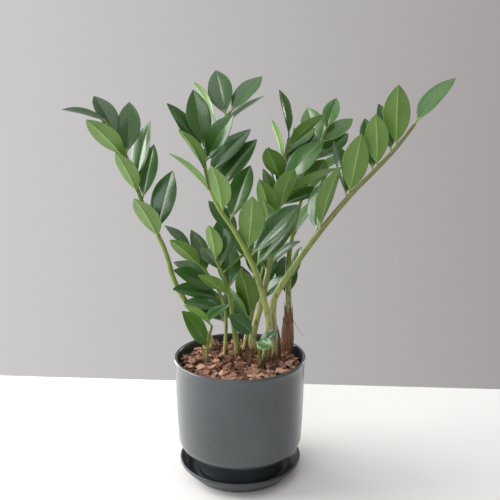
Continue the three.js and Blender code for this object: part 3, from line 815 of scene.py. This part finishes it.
def add_blade(verts, faces, kinds, maps, tints, leaf, tint, rng, settings):
    """One leaflet: a folded blade with a groove over and a ridge under its midrib, on a round stalk."""
    root, run, up, reach = leaf["root"], leaf["run"], leaf["up"], leaf["reach"]
    across = np.cross(run, up)
    curl = rng.uniform(-0.006, 0.016)
    hook = rng.uniform(0.0, 0.035)
    twist = rng.uniform(-0.16, 0.16)
    wave, phase, waves = rng.uniform(0.012, 0.04), rng.uniform(0, 6.28), rng.uniform(1.2, 2.2)
    fold = 0.22 * rng.uniform(0.75, 1.15)
    belly = rng.uniform(0.02, 0.075)
    lean = rng.uniform(-0.03, 0.03)
    half_thick, rib = settings.thickness / 2, settings.rib
    stations = leaf_stations(settings.stations)[:-1]
    lobes = len(ACROSS)
    first = len(verts)
    ring_size = 2 * lobes - 2
    for s in stations:
        half = leaf["half"] * float(np.interp(s, OUTLINE_S, OUTLINE_W))
        round_ = 1 - smooth(0.03, 0.13, s)
        half = max(half, STALK * mix(1.0, 0.35, smooth(0.5, 1.0, s)) if s < 0.5 else half)
        droop = hook * reach * max(0.0, s - 0.55) ** 2 * 2.2
        middle = root + run * (reach * s) + up * (reach * (leaf["bow"] + curl) * 4 * s * (1 - s) - droop)
        middle = middle + across * (lean * reach * 4 * s * (1 - s) * 0.5)
        if s == 0:
            middle = middle - leaf["out"] * (1.6 * MM)
        a = twist * (s - 0.45) * smooth(0.0, 0.3, s)
        side = across * math.cos(a) + up * math.sin(a)
        above = up * math.cos(a) - across * math.sin(a)
        ring_upper, ring_under = [], []
        for u in ACROSS:
            x = half * u
            z = fold * (math.sqrt(u * u + 0.004) - 0.063) + belly * math.sin(math.pi * abs(u)) * (1 - 0.5 * s)
            z *= half
            z += half * wave * u * abs(u) * math.sin(2 * math.pi * waves * s + phase)
            z *= 1 - round_
            edge = math.sqrt(max(0.0, 1 - u * u))
            body = half_thick * (0.35 + 0.65 * edge) * (1 if abs(u) < 1 else 0)
            stalk = STALK * edge * round_
            groove = 0.00028 * math.exp(-((x / 0.0007) ** 2)) * (1 - round_) * (1 - smooth(0.8, 1, s))
            ridge = rib * math.exp(-((x / 0.0011) ** 2)) * (1 - round_) * (1 - s) ** 0.7
            top = z + body * (1 - round_) + stalk - groove
            low = z - body * (1 - round_) - stalk - ridge
            ring_upper.append((middle + side * x + above * top, u, s))
            if abs(u) < 1:
                ring_under.append((middle + side * x + above * low, u, s))
        for p, u, s_ in ring_upper + ring_under[::-1]:
            verts.append(tuple(p))
            maps.append((0.5 + 0.5 * u, s_))
            tints.append(tint)
    tip = root + run * reach - up * (hook * reach * 0.45 * 0.45 * 2.2)
    verts.append(tuple(tip))
    maps.append((0.5, 1.0))
    tints.append(tint)
    end = len(verts) - 1
    rows = [range(first + i * ring_size, first + (i + 1) * ring_size) for i in range(len(stations))]
    for low, high in zip(rows, rows[1:]):
        for i in range(ring_size):
            j = (i + 1) % ring_size
            faces.append((low[i], high[i], high[j], low[j]))
            kinds.append(0 if i < lobes - 1 else 1)
    for i in range(ring_size):
        j = (i + 1) % ring_size
        faces.append((rows[-1][i], end, rows[-1][j]))
        kinds.append(0 if i < lobes - 1 else 1)
    faces.append(tuple(rows[0]))
    kinds.append(1)


def leaf_mesh(name, leaves, tints_of, rng, settings):
    verts, faces, kinds, maps, tints = [], [], [], [], []
    for leaf, tint in zip(leaves, tints_of):
        add_blade(verts, faces, kinds, maps, tints, leaf, tint, rng, settings)
    mesh = new_mesh(name, verts, faces)
    mesh.materials.append(finish("upper"))
    mesh.materials.append(finish("under"))
    mesh.polygons.foreach_set("material_index", kinds)
    shade_smooth(mesh)
    layer = mesh.uv_layers.new(name="blade")
    corners = np.zeros(len(mesh.loops), np.int32)
    mesh.loops.foreach_get("vertex_index", corners)
    layer.data.foreach_set("uv", np.array(maps, np.float32)[corners].ravel())
    attribute(mesh, "tint", tints)
    mesh.update()
    return mesh


def stem_point(key, root):
    """The point on a stem's centre line nearest to a leaflet's root."""
    centres, _ = PLANT[key]["stem"]
    best, found = 1e9, centres[0]
    for a, b in zip(centres, centres[1:]):
        t = min(1.0, max(0.0, float((root - a) @ (b - a) / max(1e-12, (b - a) @ (b - a)))))
        p = a + (b - a) * t
        d = float(np.linalg.norm(root - p))
        if d < best:
            best, found = d, p
    return found


def with_out(leaf, key):
    away = leaf["root"] - stem_point(key, leaf["root"])
    size = np.linalg.norm(away)
    leaf["out"] = away / size if size > 1e-5 else leaf["run"]
    return leaf


TINT_OF_FROND = {"a": 0.10, "b": 0.18, "c": 0.26, "d": 0.36, "e": 0.20,
                 "f": 0.62, "g": 0.14, "h": 0.16, "k": 0.42, "m": 0.12}


# ---- operators ------------------------------------------------------------------------------
class ZZ_OT_saucer(bpy.types.Operator):
    """Makes the drip saucer"""

    bl_idname = "zz.saucer"
    bl_label = "Saucer"

    def execute(self, context):
        s, pot = context.scene.zz_saucer, context.scene.zz_pot
        foot, rim, top, floor = s.foot, s.rim, s.top, s.floor
        wall = 3.6 * MM
        profile = [(0, 0.0012), (foot - 0.010, 0.0012), (foot - 0.0085, 0)]
        profile += [(foot - 0.004, 0)]
        profile += arc(foot - 0.004, 0.007, 0.007, -90, -35, 8)
        profile += [(rim - 0.0034, top - 0.007)]
        profile += arc(rim - wall / 2, top - wall / 2, wall / 2, -20, 180, 12)
        profile += arc(foot - 0.004, floor + 0.007, 0.007, -30, -90, 8)
        profile += [(0.060, floor), (0, floor)]
        mesh = lathe("saucer_body", dense(profile), pot.turns)
        mesh.materials.append(finish("saucer"))
        place(link("saucer_body", mesh), "saucer_glaze", "saucer")
        return {"FINISHED"}


class ZZ_OT_pot(bpy.types.Operator):
    """Makes the pot"""

    bl_idname = "zz.pot"
    bl_label = "Pot"

    def execute(self, context):
        p = context.scene.zz_pot
        rim, top, base = p.rim, p.top, p.base
        foot, drain, shoulder, lip = 0.056, 0.007, 0.032, 0.0046
        profile = [(drain, base), (foot - 0.006, base), (foot - 0.0012, base), (foot, base + 0.0012)]
        profile += [(foot, shoulder - 0.002), (foot + 0.003, shoulder)]
        profile += arc(0.0605, shoulder + 0.020, 0.020, -88, 0, 18)
        profile += [(0.0816, 0.072), (0.0826, 0.100), (0.0832, 0.140), (0.0836, top - 0.006)]
        profile += arc(rim - lip / 2, top - lip / 2, lip / 2, -30, 180, 14)
        profile += [(0.0800, top - 0.008), (0.0792, 0.100)]
        profile += arc(0.058, shoulder + 0.024, 0.019, 0, -90, 10)
        inner, floor = foot - 0.004, base + 0.005
        profile += [(inner, shoulder + 0.004), (inner, floor), (drain, floor), (drain, base)]
        mesh = lathe("pot_body", dense(profile)[:-1], p.turns)
        mesh.materials.append(finish("pot"))
        place(link("pot_body", mesh), "pot_glaze", "pot")
        return {"FINISHED"}


def bed_disc(name, radius, height, lumps, seed, stems, clear, rings=26, spokes=120):
    """A lumpy round sheet. Faces nearer to a stem than clear are left out."""
    verts, faces = [(0, 0, height)], []
    for i in range(1, rings + 1):
        r = radius * i / rings
        for k in range(spokes):
            a = 2 * math.pi * k / spokes
            x, y = r * math.cos(a), r * math.sin(a)
            broad = noise.noise(Vector((x * 70, y * 70, seed)))
            small = noise.noise(Vector((x * 210, y * 210, seed)))
            verts.append((x, y, height + lumps * broad + lumps * small * 0.5))
    for k in range(spokes):
        faces.append((0, 1 + k, 1 + (k + 1) % spokes))
    for i in range(rings - 1):
        for k in range(spokes):
            a, b = 1 + i * spokes, 1 + (i + 1) * spokes
            faces.append((a + k, b + k, b + (k + 1) % spokes, a + (k + 1) % spokes))

    def open_(face):
        x = sum(verts[v][0] for v in face) / len(face)
        y = sum(verts[v][1] for v in face) / len(face)
        return all(math.hypot(x - fx, y - fy) > r + clear for fx, fy, r in stems)

    return new_mesh(name, verts, [f for f in faces if open_(f)])


def bark_chip(name, rng, length_, width, thick):
    """One bark chip: an uneven slab with split, stepped ends. Its grain runs along X."""
    corners = []
    count = 8
    for i in range(count):
        a = 2 * math.pi * (i + rng.uniform(-0.38, 0.38)) / count
        k = rng.uniform(0.70, 1.14)
        sx, sy = math.cos(a), math.sin(a)
        square = 1 / max(abs(sx), abs(sy)) ** 0.75
        corners.append((length_ / 2 * sx * square * k, width / 2 * sy * square * k))
    bend, sway = rng.uniform(-16, 26), rng.uniform(-14, 14)
    verts, faces = [], []
    layers = [(-0.5, 0.93), (-0.1, 1.0), (0.38, 0.97), (0.5, 0.90)]
    for z, k in layers:
        for x, y in corners:
            x, y = x * k * rng.uniform(0.93, 1.05), y * k * rng.uniform(0.90, 1.07)
            lift = bend * x * x + sway * x * y * 5 + rng.uniform(-0.2, 0.2) * thick
            verts.append((x, y, z * thick + lift))
    for row in range(len(layers) - 1):
        for i in range(count):
            j = (i + 1) % count
            a, b = row * count, (row + 1) * count
            faces.append((a + i, a + j, b + j, b + i))
    for row, turn in ((0, -1), (len(layers) - 1, 1)):
        centre = len(verts)
        verts.append((0, 0, layers[row][0] * thick * (0.8 + 0.5 * rng.random())))
        for i in range(count):
            j = (i + 1) % count
            a = row * count
            faces.append((a + i, a + j, centre) if turn > 0 else (a + j, a + i, centre))
    mesh = new_mesh(name, verts, faces)
    attribute(mesh, "fibre", verts)
    return mesh


class ZZ_OT_bed(bpy.types.Operator):
    """Makes the potting mix and strews the bark over it"""

    bl_idname = "zz.bed"
    bl_label = "Potting mix and bark"

    def execute(self, context):
        bed = context.scene.zz_bed
        stems = feet()
        low, high = SOIL_LOW.z, SOIL_HIGH.z
        wall = SOIL_HIGH.x
        profile = [(0, low), (0.050, low), (0.0512, 0.040), (0.060, 0.0395), (0.0755, 0.052),
                   (wall - 0.001, 0.075), (wall, 0.100), (wall, high)]
        soil = lathe("soil_body", dense(profile + [(0.055, high), (0, high)]), 96)
        for v in soil.vertices:
            if v.co.z > high - 1e-4 and v.co.xy.length < wall - 1e-3:
                v.co.z += 0.0012 * noise.noise(v.co * 120) - 0.0008
        soil.materials.append(finish("soil"))
        place(link("soil_body", soil), "soil", "potting_mix")

        ground = BED_HIGH.z - 0.0062
        litter = bed_disc("bark_litter", bed.radius, ground, 0.0022, 3.0, [], 0.0)
        rim = bmesh.new()
        rim.from_mesh(litter)
        edge = [e for e in rim.edges if e.is_boundary]
        skirt = bmesh.ops.extrude_edge_only(rim, edges=edge)
        for v in (g for g in skirt["geom"] if isinstance(g, bmesh.types.BMVert)):
            v.co.z = BED_LOW.z
        bmesh.ops.contextual_create(rim, geom=[e for e in rim.edges if e.is_boundary])
        bmesh.ops.recalc_face_normals(rim, faces=rim.faces)
        rim.to_mesh(litter)
        rim.free()
        shade_smooth(litter)
        litter.materials.append(finish("soil"))
        place(link("bark_litter", litter), "bark", "bark_mulch")

        rng = random.Random(bed.seed)
        chips = bpy.data.collections.new("bark_chips")
        for i in range(9):
            size = (rng.uniform(0.0100, 0.0185), rng.uniform(0.0058, 0.0110), rng.uniform(0.0012, 0.0026))
            chip = bpy.data.objects.new(f"chip_kind_{i}", bark_chip(f"chip_kind_{i}", rng, *size))
            chips.objects.link(chip)
        tree = tree_named("bark_scatter")
        layers = [("bark_low", ground + 0.0020, bed.spacing, 0.55, 1.05, 0.34, 0.0770),
                  ("bark_top", ground + 0.0046, bed.spacing * 1.45, 0.65, 1.20, 0.42, 0.0742),
                  ("bark_heap", ground + 0.0070, bed.spacing * 2.3, 0.60, 1.15, 0.55, 0.0715)]
        for i, (name, height, spacing, small, large, tilt, reach) in enumerate(layers):
            sheet = bed_disc(name, reach, height, 0.0016, 7.0 + i, stems, 0.0024 + 0.0012 * i)
            piece = link(name, sheet)
            run_tree(piece, tree, Chips=chips, Spacing=spacing, Seed=bed.seed + i, Smallest=small,
                     Largest=large, Tilt=tilt, Wall=0.079, Finish=finish("bark"),
                     **{"Full size within": 0.060})
            place(piece, "bark", "bark_mulch")
        for chip in list(chips.objects):
            bpy.data.objects.remove(chip)
        bpy.data.collections.remove(chips)
        return {"FINISHED"}


LOOSE_TONES = (0.97, 0.78, 0.9, 0.62, 0.5, 0.66)


class ZZ_OT_loose_bark(bpy.types.Operator):
    """Makes the larger chips that lie loose on the bed"""

    bl_idname = "zz.loose_bark"
    bl_label = "Loose bark"

    def execute(self, context):
        rng = random.Random(5)
        for i, name in enumerate(sorted(n for n in NODES if n.startswith("chip_"))):
            bm = bmesh.new()
            bm.from_mesh(NODES[name].data)
            bmesh.ops.remove_doubles(bm, verts=bm.verts, dist=SAME_POINT)
            points = np.array([v.co for v in bm.verts])
            bm.free()
            centre = points.mean(0)
            _, _, axes = np.linalg.svd(points - centre)
            if axes[2][2] < 0:
                axes[2] *= -1
            axes[1] = np.cross(axes[2], axes[0])
            spans = [np.ptp((points - centre) @ a) for a in axes]
            mesh = bark_chip("bark_" + name, rng, spans[0] * 0.93, spans[1] * 0.95, spans[2] * 0.7)
            co = np.zeros(len(mesh.vertices) * 3)
            mesh.vertices.foreach_get("co", co)
            local = co.reshape(-1, 3)
            mesh.vertices.foreach_set("co", (centre + local @ axes).ravel())
            attribute(mesh, "tone", [LOOSE_TONES[i % len(LOOSE_TONES)]] * len(mesh.vertices))
            mesh.materials.append(finish("bark"))
            piece = link("bark_" + name, mesh)
            bevel = piece.modifiers.new("edges", "BEVEL")
            bevel.width, bevel.segments = 0.0004, 2
            evaluated_mesh(piece, piece.name)
            place(piece, "bark_light", name)
        return {"FINISHED"}


class ZZ_OT_rhizomes(bpy.types.Operator):
    """Makes the rhizomes in the potting mix"""

    bl_idname = "zz.rhizomes"
    bl_label = "Rhizomes"

    def execute(self, context):
        tubers = [(30, -4, 116, 25, 21), (-4, 18, 114, 26, 22), (-30, 10, 117, 22, 20),
                  (50, 22, 115, 22, 20), (6, -20, 110, 22, 18)]
        bm = bmesh.new()
        for i, (x, y, z, across, up) in enumerate(tubers):
            made = bmesh.ops.create_uvsphere(bm, u_segments=40, v_segments=24, radius=1)["verts"]
            for v in made:
                ringed = 1 + 0.025 * math.sin(v.co.z * 26 + i)
                lump = noise.noise(v.co * 1.7 + Vector((i * 5, 0, 0)))
                k = ringed * (1 + 0.09 * lump + 0.03 * noise.noise(v.co * 7))
                v.co = Vector((v.co.x * across * k + x, v.co.y * across * 0.9 * k + y,
                               v.co.z * up * k + z)) * MM
        bmesh.ops.recalc_face_normals(bm, faces=bm.faces)
        mesh = bpy.data.meshes.new("rhizome_body")
        bm.to_mesh(mesh)
        bm.free()
        shade_smooth(mesh)
        mesh.materials.append(finish("rhizome"))
        place(link("rhizome_body", mesh), "rhizome", "rhizomes")
        return {"FINISHED"}


WARMTH_OF_STEM = {"c": 0.75, "d": 0.35, "k": 0.25}  # how brown a stem is; the others are nearly green


class ZZ_OT_stems(bpy.types.Operator):
    """Makes the stems of the fronds"""

    bl_idname = "zz.stems"
    bl_label = "Stems"

    def execute(self, context):
        s = context.scene.zz_stem
        tree = tree_named("stem_tube")
        for key in STEM_KEYS:
            centres, radii = PLANT[key]["stem"]
            own = [LEAF_OF[n] for n in SINGLE_LEAVES if n.startswith("leaf_" + key)]
            leaves = PLANT[key]["leaves"] or own
            swell = np.zeros(len(radii))
            for leaf in leaves:
                away = np.linalg.norm(centres - leaf["root"], axis=1)
                swell = np.maximum(swell, np.exp(-((away / 0.007) ** 2)))
            keep = [0]
            for i in range(1, len(centres)):
                if np.linalg.norm(centres[i] - centres[keep[-1]]) > 0.0045 or i == len(centres) - 1:
                    keep.append(i)
            mesh = new_mesh("stalk_" + key, [tuple(c) for c in centres[keep]],
                            edges=[(i, i + 1) for i in range(len(keep) - 1)])
            attribute(mesh, "girth", (radii * (1 + 0.05 * swell))[keep])
            piece = link("stalk_" + key, mesh)
            made = run_tree(piece, tree, Sides=s.sides, Spacing=s.spacing, Finish=finish("stem"))
            rises = np.zeros(len(made.vertices), np.float32)
            made.attributes["rise"].data.foreach_get("value", rises)
            upper = np.clip((rises - 0.38) / 0.2, 0.0, 1.0) if key in "ck" else np.ones(len(rises))
            attribute(made, "warm", WARMTH_OF_STEM.get(key, 0.08) * upper)
            shade_smooth(outward(made))
            place(piece, "stem", ("frond_" if key in JOINED_FRONDS else "stem_") + key)
        return {"FINISHED"}


class ZZ_OT_single_leaflets(bpy.types.Operator):
    """Makes the leaflets of the three tall fronds"""

    bl_idname = "zz.single_leaflets"
    bl_label = "Leaflets of the tall fronds"

    def execute(self, context):
        settings = context.scene.zz_leaf
        for i, name in enumerate(SINGLE_LEAVES):
            rng = random.Random(100 + i)
            key = name[5]
            tint = min(1.0, max(0.0, TINT_OF_FROND[key] + rng.uniform(-0.12, 0.16)))
            mesh = leaf_mesh("leaflet_" + name[5:], [with_out(LEAF_OF[name], key)], [tint], rng, settings)
            place(link("leaflet_" + name[5:], mesh), "leaf", name)
        return {"FINISHED"}


class ZZ_OT_frond_leaflets(bpy.types.Operator):
    """Makes the leaflets of the fronds that are one solid each"""

    bl_idname = "zz.frond_leaflets"
    bl_label = "Leaflets of the other fronds"

    def execute(self, context):
        settings = context.scene.zz_leaf
        for i, key in enumerate(JOINED_FRONDS):
            rng = random.Random(300 + i)
            leaves = [with_out(leaf, key) for leaf in PLANT[key]["leaves"]]
            tints = [min(1.0, max(0.0, TINT_OF_FROND[key] + rng.uniform(-0.14, 0.2))) for _ in leaves]
            if key == "f":
                tints[0] = 1.0
            mesh = leaf_mesh("leaflets_" + key, leaves, tints, rng, settings)
            place(link("leaflets_" + key, mesh), "leaf", "frond_" + key)
        return {"FINISHED"}


def stem_at(key, height):
    """Centre and radius of a stem at a height above the saucer's underside."""
    centres, radii = PLANT[key]["stem"]
    x, y, radius = (float(np.interp(height, centres[:, 2], row)) for row in (*centres[:, :2].T, radii))
    return np.array([x, y, height]), radius


def wrap_mesh(name, key, low, high, swell, start, stop, ragged, seed):
    """A papery wrap round a stem's foot, torn along its top. Angles in degrees, 270 faces the front."""
    rows, columns = 22, 46
    verts, faces = [], []
    for k in range(columns + 1):
        share_ = k / columns
        a = math.radians(mix(start, stop, share_))
        side = min(1.0, 5 * min(share_, 1 - share_))
        torn = noise.noise(Vector((math.cos(a) * 2.1, math.sin(a) * 2.1, seed)))
        torn += 0.5 * noise.noise(Vector((a * 9, 0, seed)))
        top = mix(low, high, min(1.0, max(0.25, (0.45 + 0.55 * side) * (1 - ragged * (0.5 - torn)))))
        for i in range(rows + 1):
            h = i / rows
            z = mix(low, top, h)
            centre, radius = stem_at(key, z)
            rise = (z - low) / (high - low)
            bulge = 0.75 + 0.25 * math.sin(math.pi * min(1, rise * 1.6))
            out = radius + 0.0007 + swell * (1 - rise) ** 0.8 * bulge
            crease = noise.noise(Vector((math.cos(a) * 5, math.sin(a) * 5, z * 35 + seed)))
            fine = noise.noise(Vector((a * 14, seed, z * 50)))
            out += 0.0011 * crease * (0.4 + rise) + 0.00035 * fine
            out += 0.0018 * max(0.0, h - 0.82) * 5 * abs(torn)
            verts.append((centre[0] + out * math.cos(a), centre[1] + out * math.sin(a), z))
    for k in range(columns):
        for i in range(rows):
            a, b = k * (rows + 1) + i, (k + 1) * (rows + 1) + i
            faces.append((a, b, b + 1, a + 1))
    mesh = new_mesh(name, verts, faces)
    turns = [math.radians(mix(start, stop, (n // (rows + 1)) / columns)) for n in range(len(verts))]
    attribute(mesh, "fibre", [(v[2], turn * 0.006, seed) for v, turn in zip(verts, turns)])
    mesh.materials.append(finish("sheath"))
    return mesh


def add_wrap(name, nodes, *shape):
    piece = link(name, wrap_mesh(name, *shape))
    thick = piece.modifiers.new("paper", "SOLIDIFY")
    thick.thickness, thick.offset = 0.00035, 1
    shade_smooth(evaluated_mesh(piece, name))
    place(piece, "sheath", *nodes)


class ZZ_OT_sheaths(bpy.types.Operator):
    """Makes the papery sheaths at the feet of two fronds, and the whiskers that hang from one"""

    bl_idname = "zz.sheaths"
    bl_label = "Sheaths"

    def execute(self, context):
        low = BED_HIGH.z - HUSK_SUNK
        for name, nodes, key, above, swell, start, stop, ragged, seed in (
                ("sheath_k_paper", ["sheath_k"], "k", 0.002, 0.0036, 150, 440, 0.35, 3.0),
                ("sheath_k_inner", [], "k", -0.016, 0.0016, 120, 330, 0.5, 8.0),
                ("sheath_c_paper", ["sheath_c"], "c", -0.006, 0.0014, 292, 530, 0.55, 5.0)):
            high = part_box("sheath_" + key)[1].z + above
            add_wrap(name, nodes, key, low, high, swell, start, stop, ragged, seed)
        for i, (key, turn) in enumerate((("k", 300), ("k", 348), ("k", 215), ("c", 350), ("b", 200))):
            rng = random.Random(40 + i)
            height = {"k": 0.205, "c": 0.196, "b": 0.176}[key] - 0.007 * i
            centre, radius = stem_at(key, height)
            a = math.radians(turn)
            out = Vector((math.cos(a), math.sin(a), 0))
            p = Vector(centre) + out * (radius + 0.0012)
            step = (out * 0.25 + Vector((0, 0, -1))) * 0.0021
            points, girths = [], []
            for n in range(11 + 3 * (i % 3)):
                points.append(tuple(p))
                girths.append(0.00042 * (1 - n / 18))
                stray = Vector((rng.uniform(-1, 1), rng.uniform(-1, 1), rng.uniform(-0.4, 0.5)))
                step = step + stray * 0.00045
                p = p + step
            mesh = new_mesh(f"whisker_{i}", points, edges=[(n, n + 1) for n in range(len(points) - 1)])
            attribute(mesh, "girth", girths)
            piece = link(f"whisker_{i}", mesh)
            run_tree(piece, tree_named("stem_tube"), Sides=6, Spacing=0.0015, Finish=finish("sheath"))
            outward(piece.data)
            place(piece, "sheath")
        return {"FINISHED"}


HUSK_HEIGHTS = {"a": 0.017, "b": 0.020, "c": 0.016, "d": 0.024, "e": 0.020,
                "f": 0.012, "g": 0.010, "h": 0.026, "m": 0.017}


class ZZ_OT_husks(bpy.types.Operator):
    """Makes the ragged brown husks left round the feet of the other stems"""

    bl_idname = "zz.husks"
    bl_label = "Husks"

    def execute(self, context):
        low = BED_HIGH.z - HUSK_SUNK
        for i, (key, height) in enumerate(HUSK_HEIGHTS.items()):
            rng = random.Random(70 + i)
            start = rng.uniform(120, 260)
            stop = start + rng.uniform(170, 260)
            add_wrap("husk_" + key, [], key, low, low + height, 0.0011, start, stop, 0.8, 11.0 + i)
        return {"FINISHED"}


class ZZ_OT_stage(bpy.types.Operator):
    """Makes the table, the lights and the camera"""

    bl_idname = "zz.stage"
    bl_label = "Stage"

    def execute(self, context):
        s = context.scene.zz_stage
        mesh = bpy.data.meshes.new("table_top")
        edge = s.far_edge
        top = [(-2.6, -2.4), (2.6, -2.4), (2.6, edge - s.skew), (-2.6, edge + s.skew)]
        mesh.from_pydata([(x, y, 0) for x, y in top] + [(x, y, -0.03) for x, y in top], [],
                         [(0, 1, 2, 3), (7, 6, 5, 4), (0, 4, 5, 1), (1, 5, 6, 2), (2, 6, 7, 3), (3, 7, 4, 0)])
        f = Finish("table_paint", Roughness=0.6)
        cloud, fine, _ = f.grain(300.0, 3.0)
        tone = f.blend(f.map(cloud, 0.3, 0.7), s.table, scaled(s.table, 0.97))
        mesh.materials.append(f.paint(tone, f.map(fine, 0.3, 0.7, 0.55, 0.65)))
        table = link("table_top", mesh)

        def light(name, at, aim, size, power, tone):
            lamp = bpy.data.lights.new(name, "AREA")
            lamp.shape, lamp.size, lamp.size_y = "RECTANGLE", size[0], size[1]
            lamp.energy, lamp.color = power, tone
            made = bpy.data.objects.new(name, lamp)
            made.location = at
            made.rotation_euler = (Vector(aim) - Vector(at)).to_track_quat("-Z", "Y").to_euler()
            context.scene.collection.objects.link(made)

        light("window", (-1.5, 0.25, 0.95), (0, 0, 0.25), (1.3, 1.3), s.window, (1.0, 0.99, 0.97))
        light("front_fill", (-0.9, -1.9, 1.3), (0, 0, 0.25), (1.2, 1.0), s.fill, (0.96, 0.98, 1.0))
        light("side_strip", (-1.45, 1.50, 0.42), (0, 0, 0.12), (0.62, 1.2), s.window * 0.75, (1.0, 1.0, 1.0))
        light("right_glow", (1.50, 1.50, 0.40), (0, 0, 0.12), (0.50, 0.9), s.window * 0.24, (1.0, 0.99, 0.97))
        light("sky", (0.1, -0.2, 1.9), (0, 0, 0.2), (1.6, 1.6), s.fill * 0.9, (0.97, 0.99, 1.0))

        world = bpy.data.worlds.new("room")
        world.use_nodes = True
        room = Nodes(world.node_tree)
        back = next(n for n in room.tree.nodes if n.type == "BACKGROUND")
        where = room.put("ShaderNodeTexCoord").outputs["Generated"]
        parts = room.put("ShaderNodeSeparateXYZ", {0: where})
        side = room.map(parts.outputs["X"], -0.45, 0.45)
        room.tree.links.new(room.blend(side, s.wall_left, s.wall_right), back.inputs[0])
        back.inputs[1].default_value = 1.0
        context.scene.world = world
        context.scene.view_settings.view_transform = "Standard"

        lens = bpy.data.cameras.new("camera")
        lens.lens, lens.sensor_width = s.lens, 36
        lens.clip_start, lens.clip_end = 0.02, 20
        camera = bpy.data.objects.new("camera", lens)
        camera.location = (0, -0.8757, 0.502)
        camera.rotation_euler = (math.radians(90 - 13.08), 0, math.radians(-0.85))
        context.scene.collection.objects.link(camera)
        context.scene.camera = camera
        return {"FINISHED"}


OPERATORS = [ZZ_OT_saucer, ZZ_OT_pot, ZZ_OT_bed, ZZ_OT_loose_bark, ZZ_OT_rhizomes, ZZ_OT_stems,
             ZZ_OT_single_leaflets, ZZ_OT_frond_leaflets, ZZ_OT_sheaths, ZZ_OT_husks, ZZ_OT_stage]


class ZZ_PT_panel(bpy.types.Panel):
    """Lists the pieces of the plant and their sizes"""

    bl_idname = "ZZ_PT_panel"
    bl_label = "ZZ Plant"
    bl_space_type = "VIEW_3D"
    bl_region_type = "UI"
    bl_category = "ZZ Plant"

    def draw(self, context):
        column = self.layout.column(align=True)
        for operator in OPERATORS:
            column.operator(operator.bl_idname)
        for name, settings in SETTINGS.items():
            box = self.layout.box()
            box.label(text=name[3:].capitalize())
            for field in settings.__annotations__:
                box.prop(getattr(context.scene, name), field)


def register():
    for c in [*SETTINGS.values(), *OPERATORS, ZZ_PT_panel]:
        bpy.utils.register_class(c)
    for name, settings in SETTINGS.items():
        setattr(bpy.types.Scene, name, bpy.props.PointerProperty(type=settings))


def unregister():
    for name in SETTINGS:
        delattr(bpy.types.Scene, name)
    for c in reversed([*SETTINGS.values(), *OPERATORS, ZZ_PT_panel]):
        bpy.utils.unregister_class(c)


def main():
    register()
    for operator in OPERATORS:
        family, name = operator.bl_idname.split(".")
        getattr(getattr(bpy.ops, family), name)()


if __name__ == "__main__":
    main()
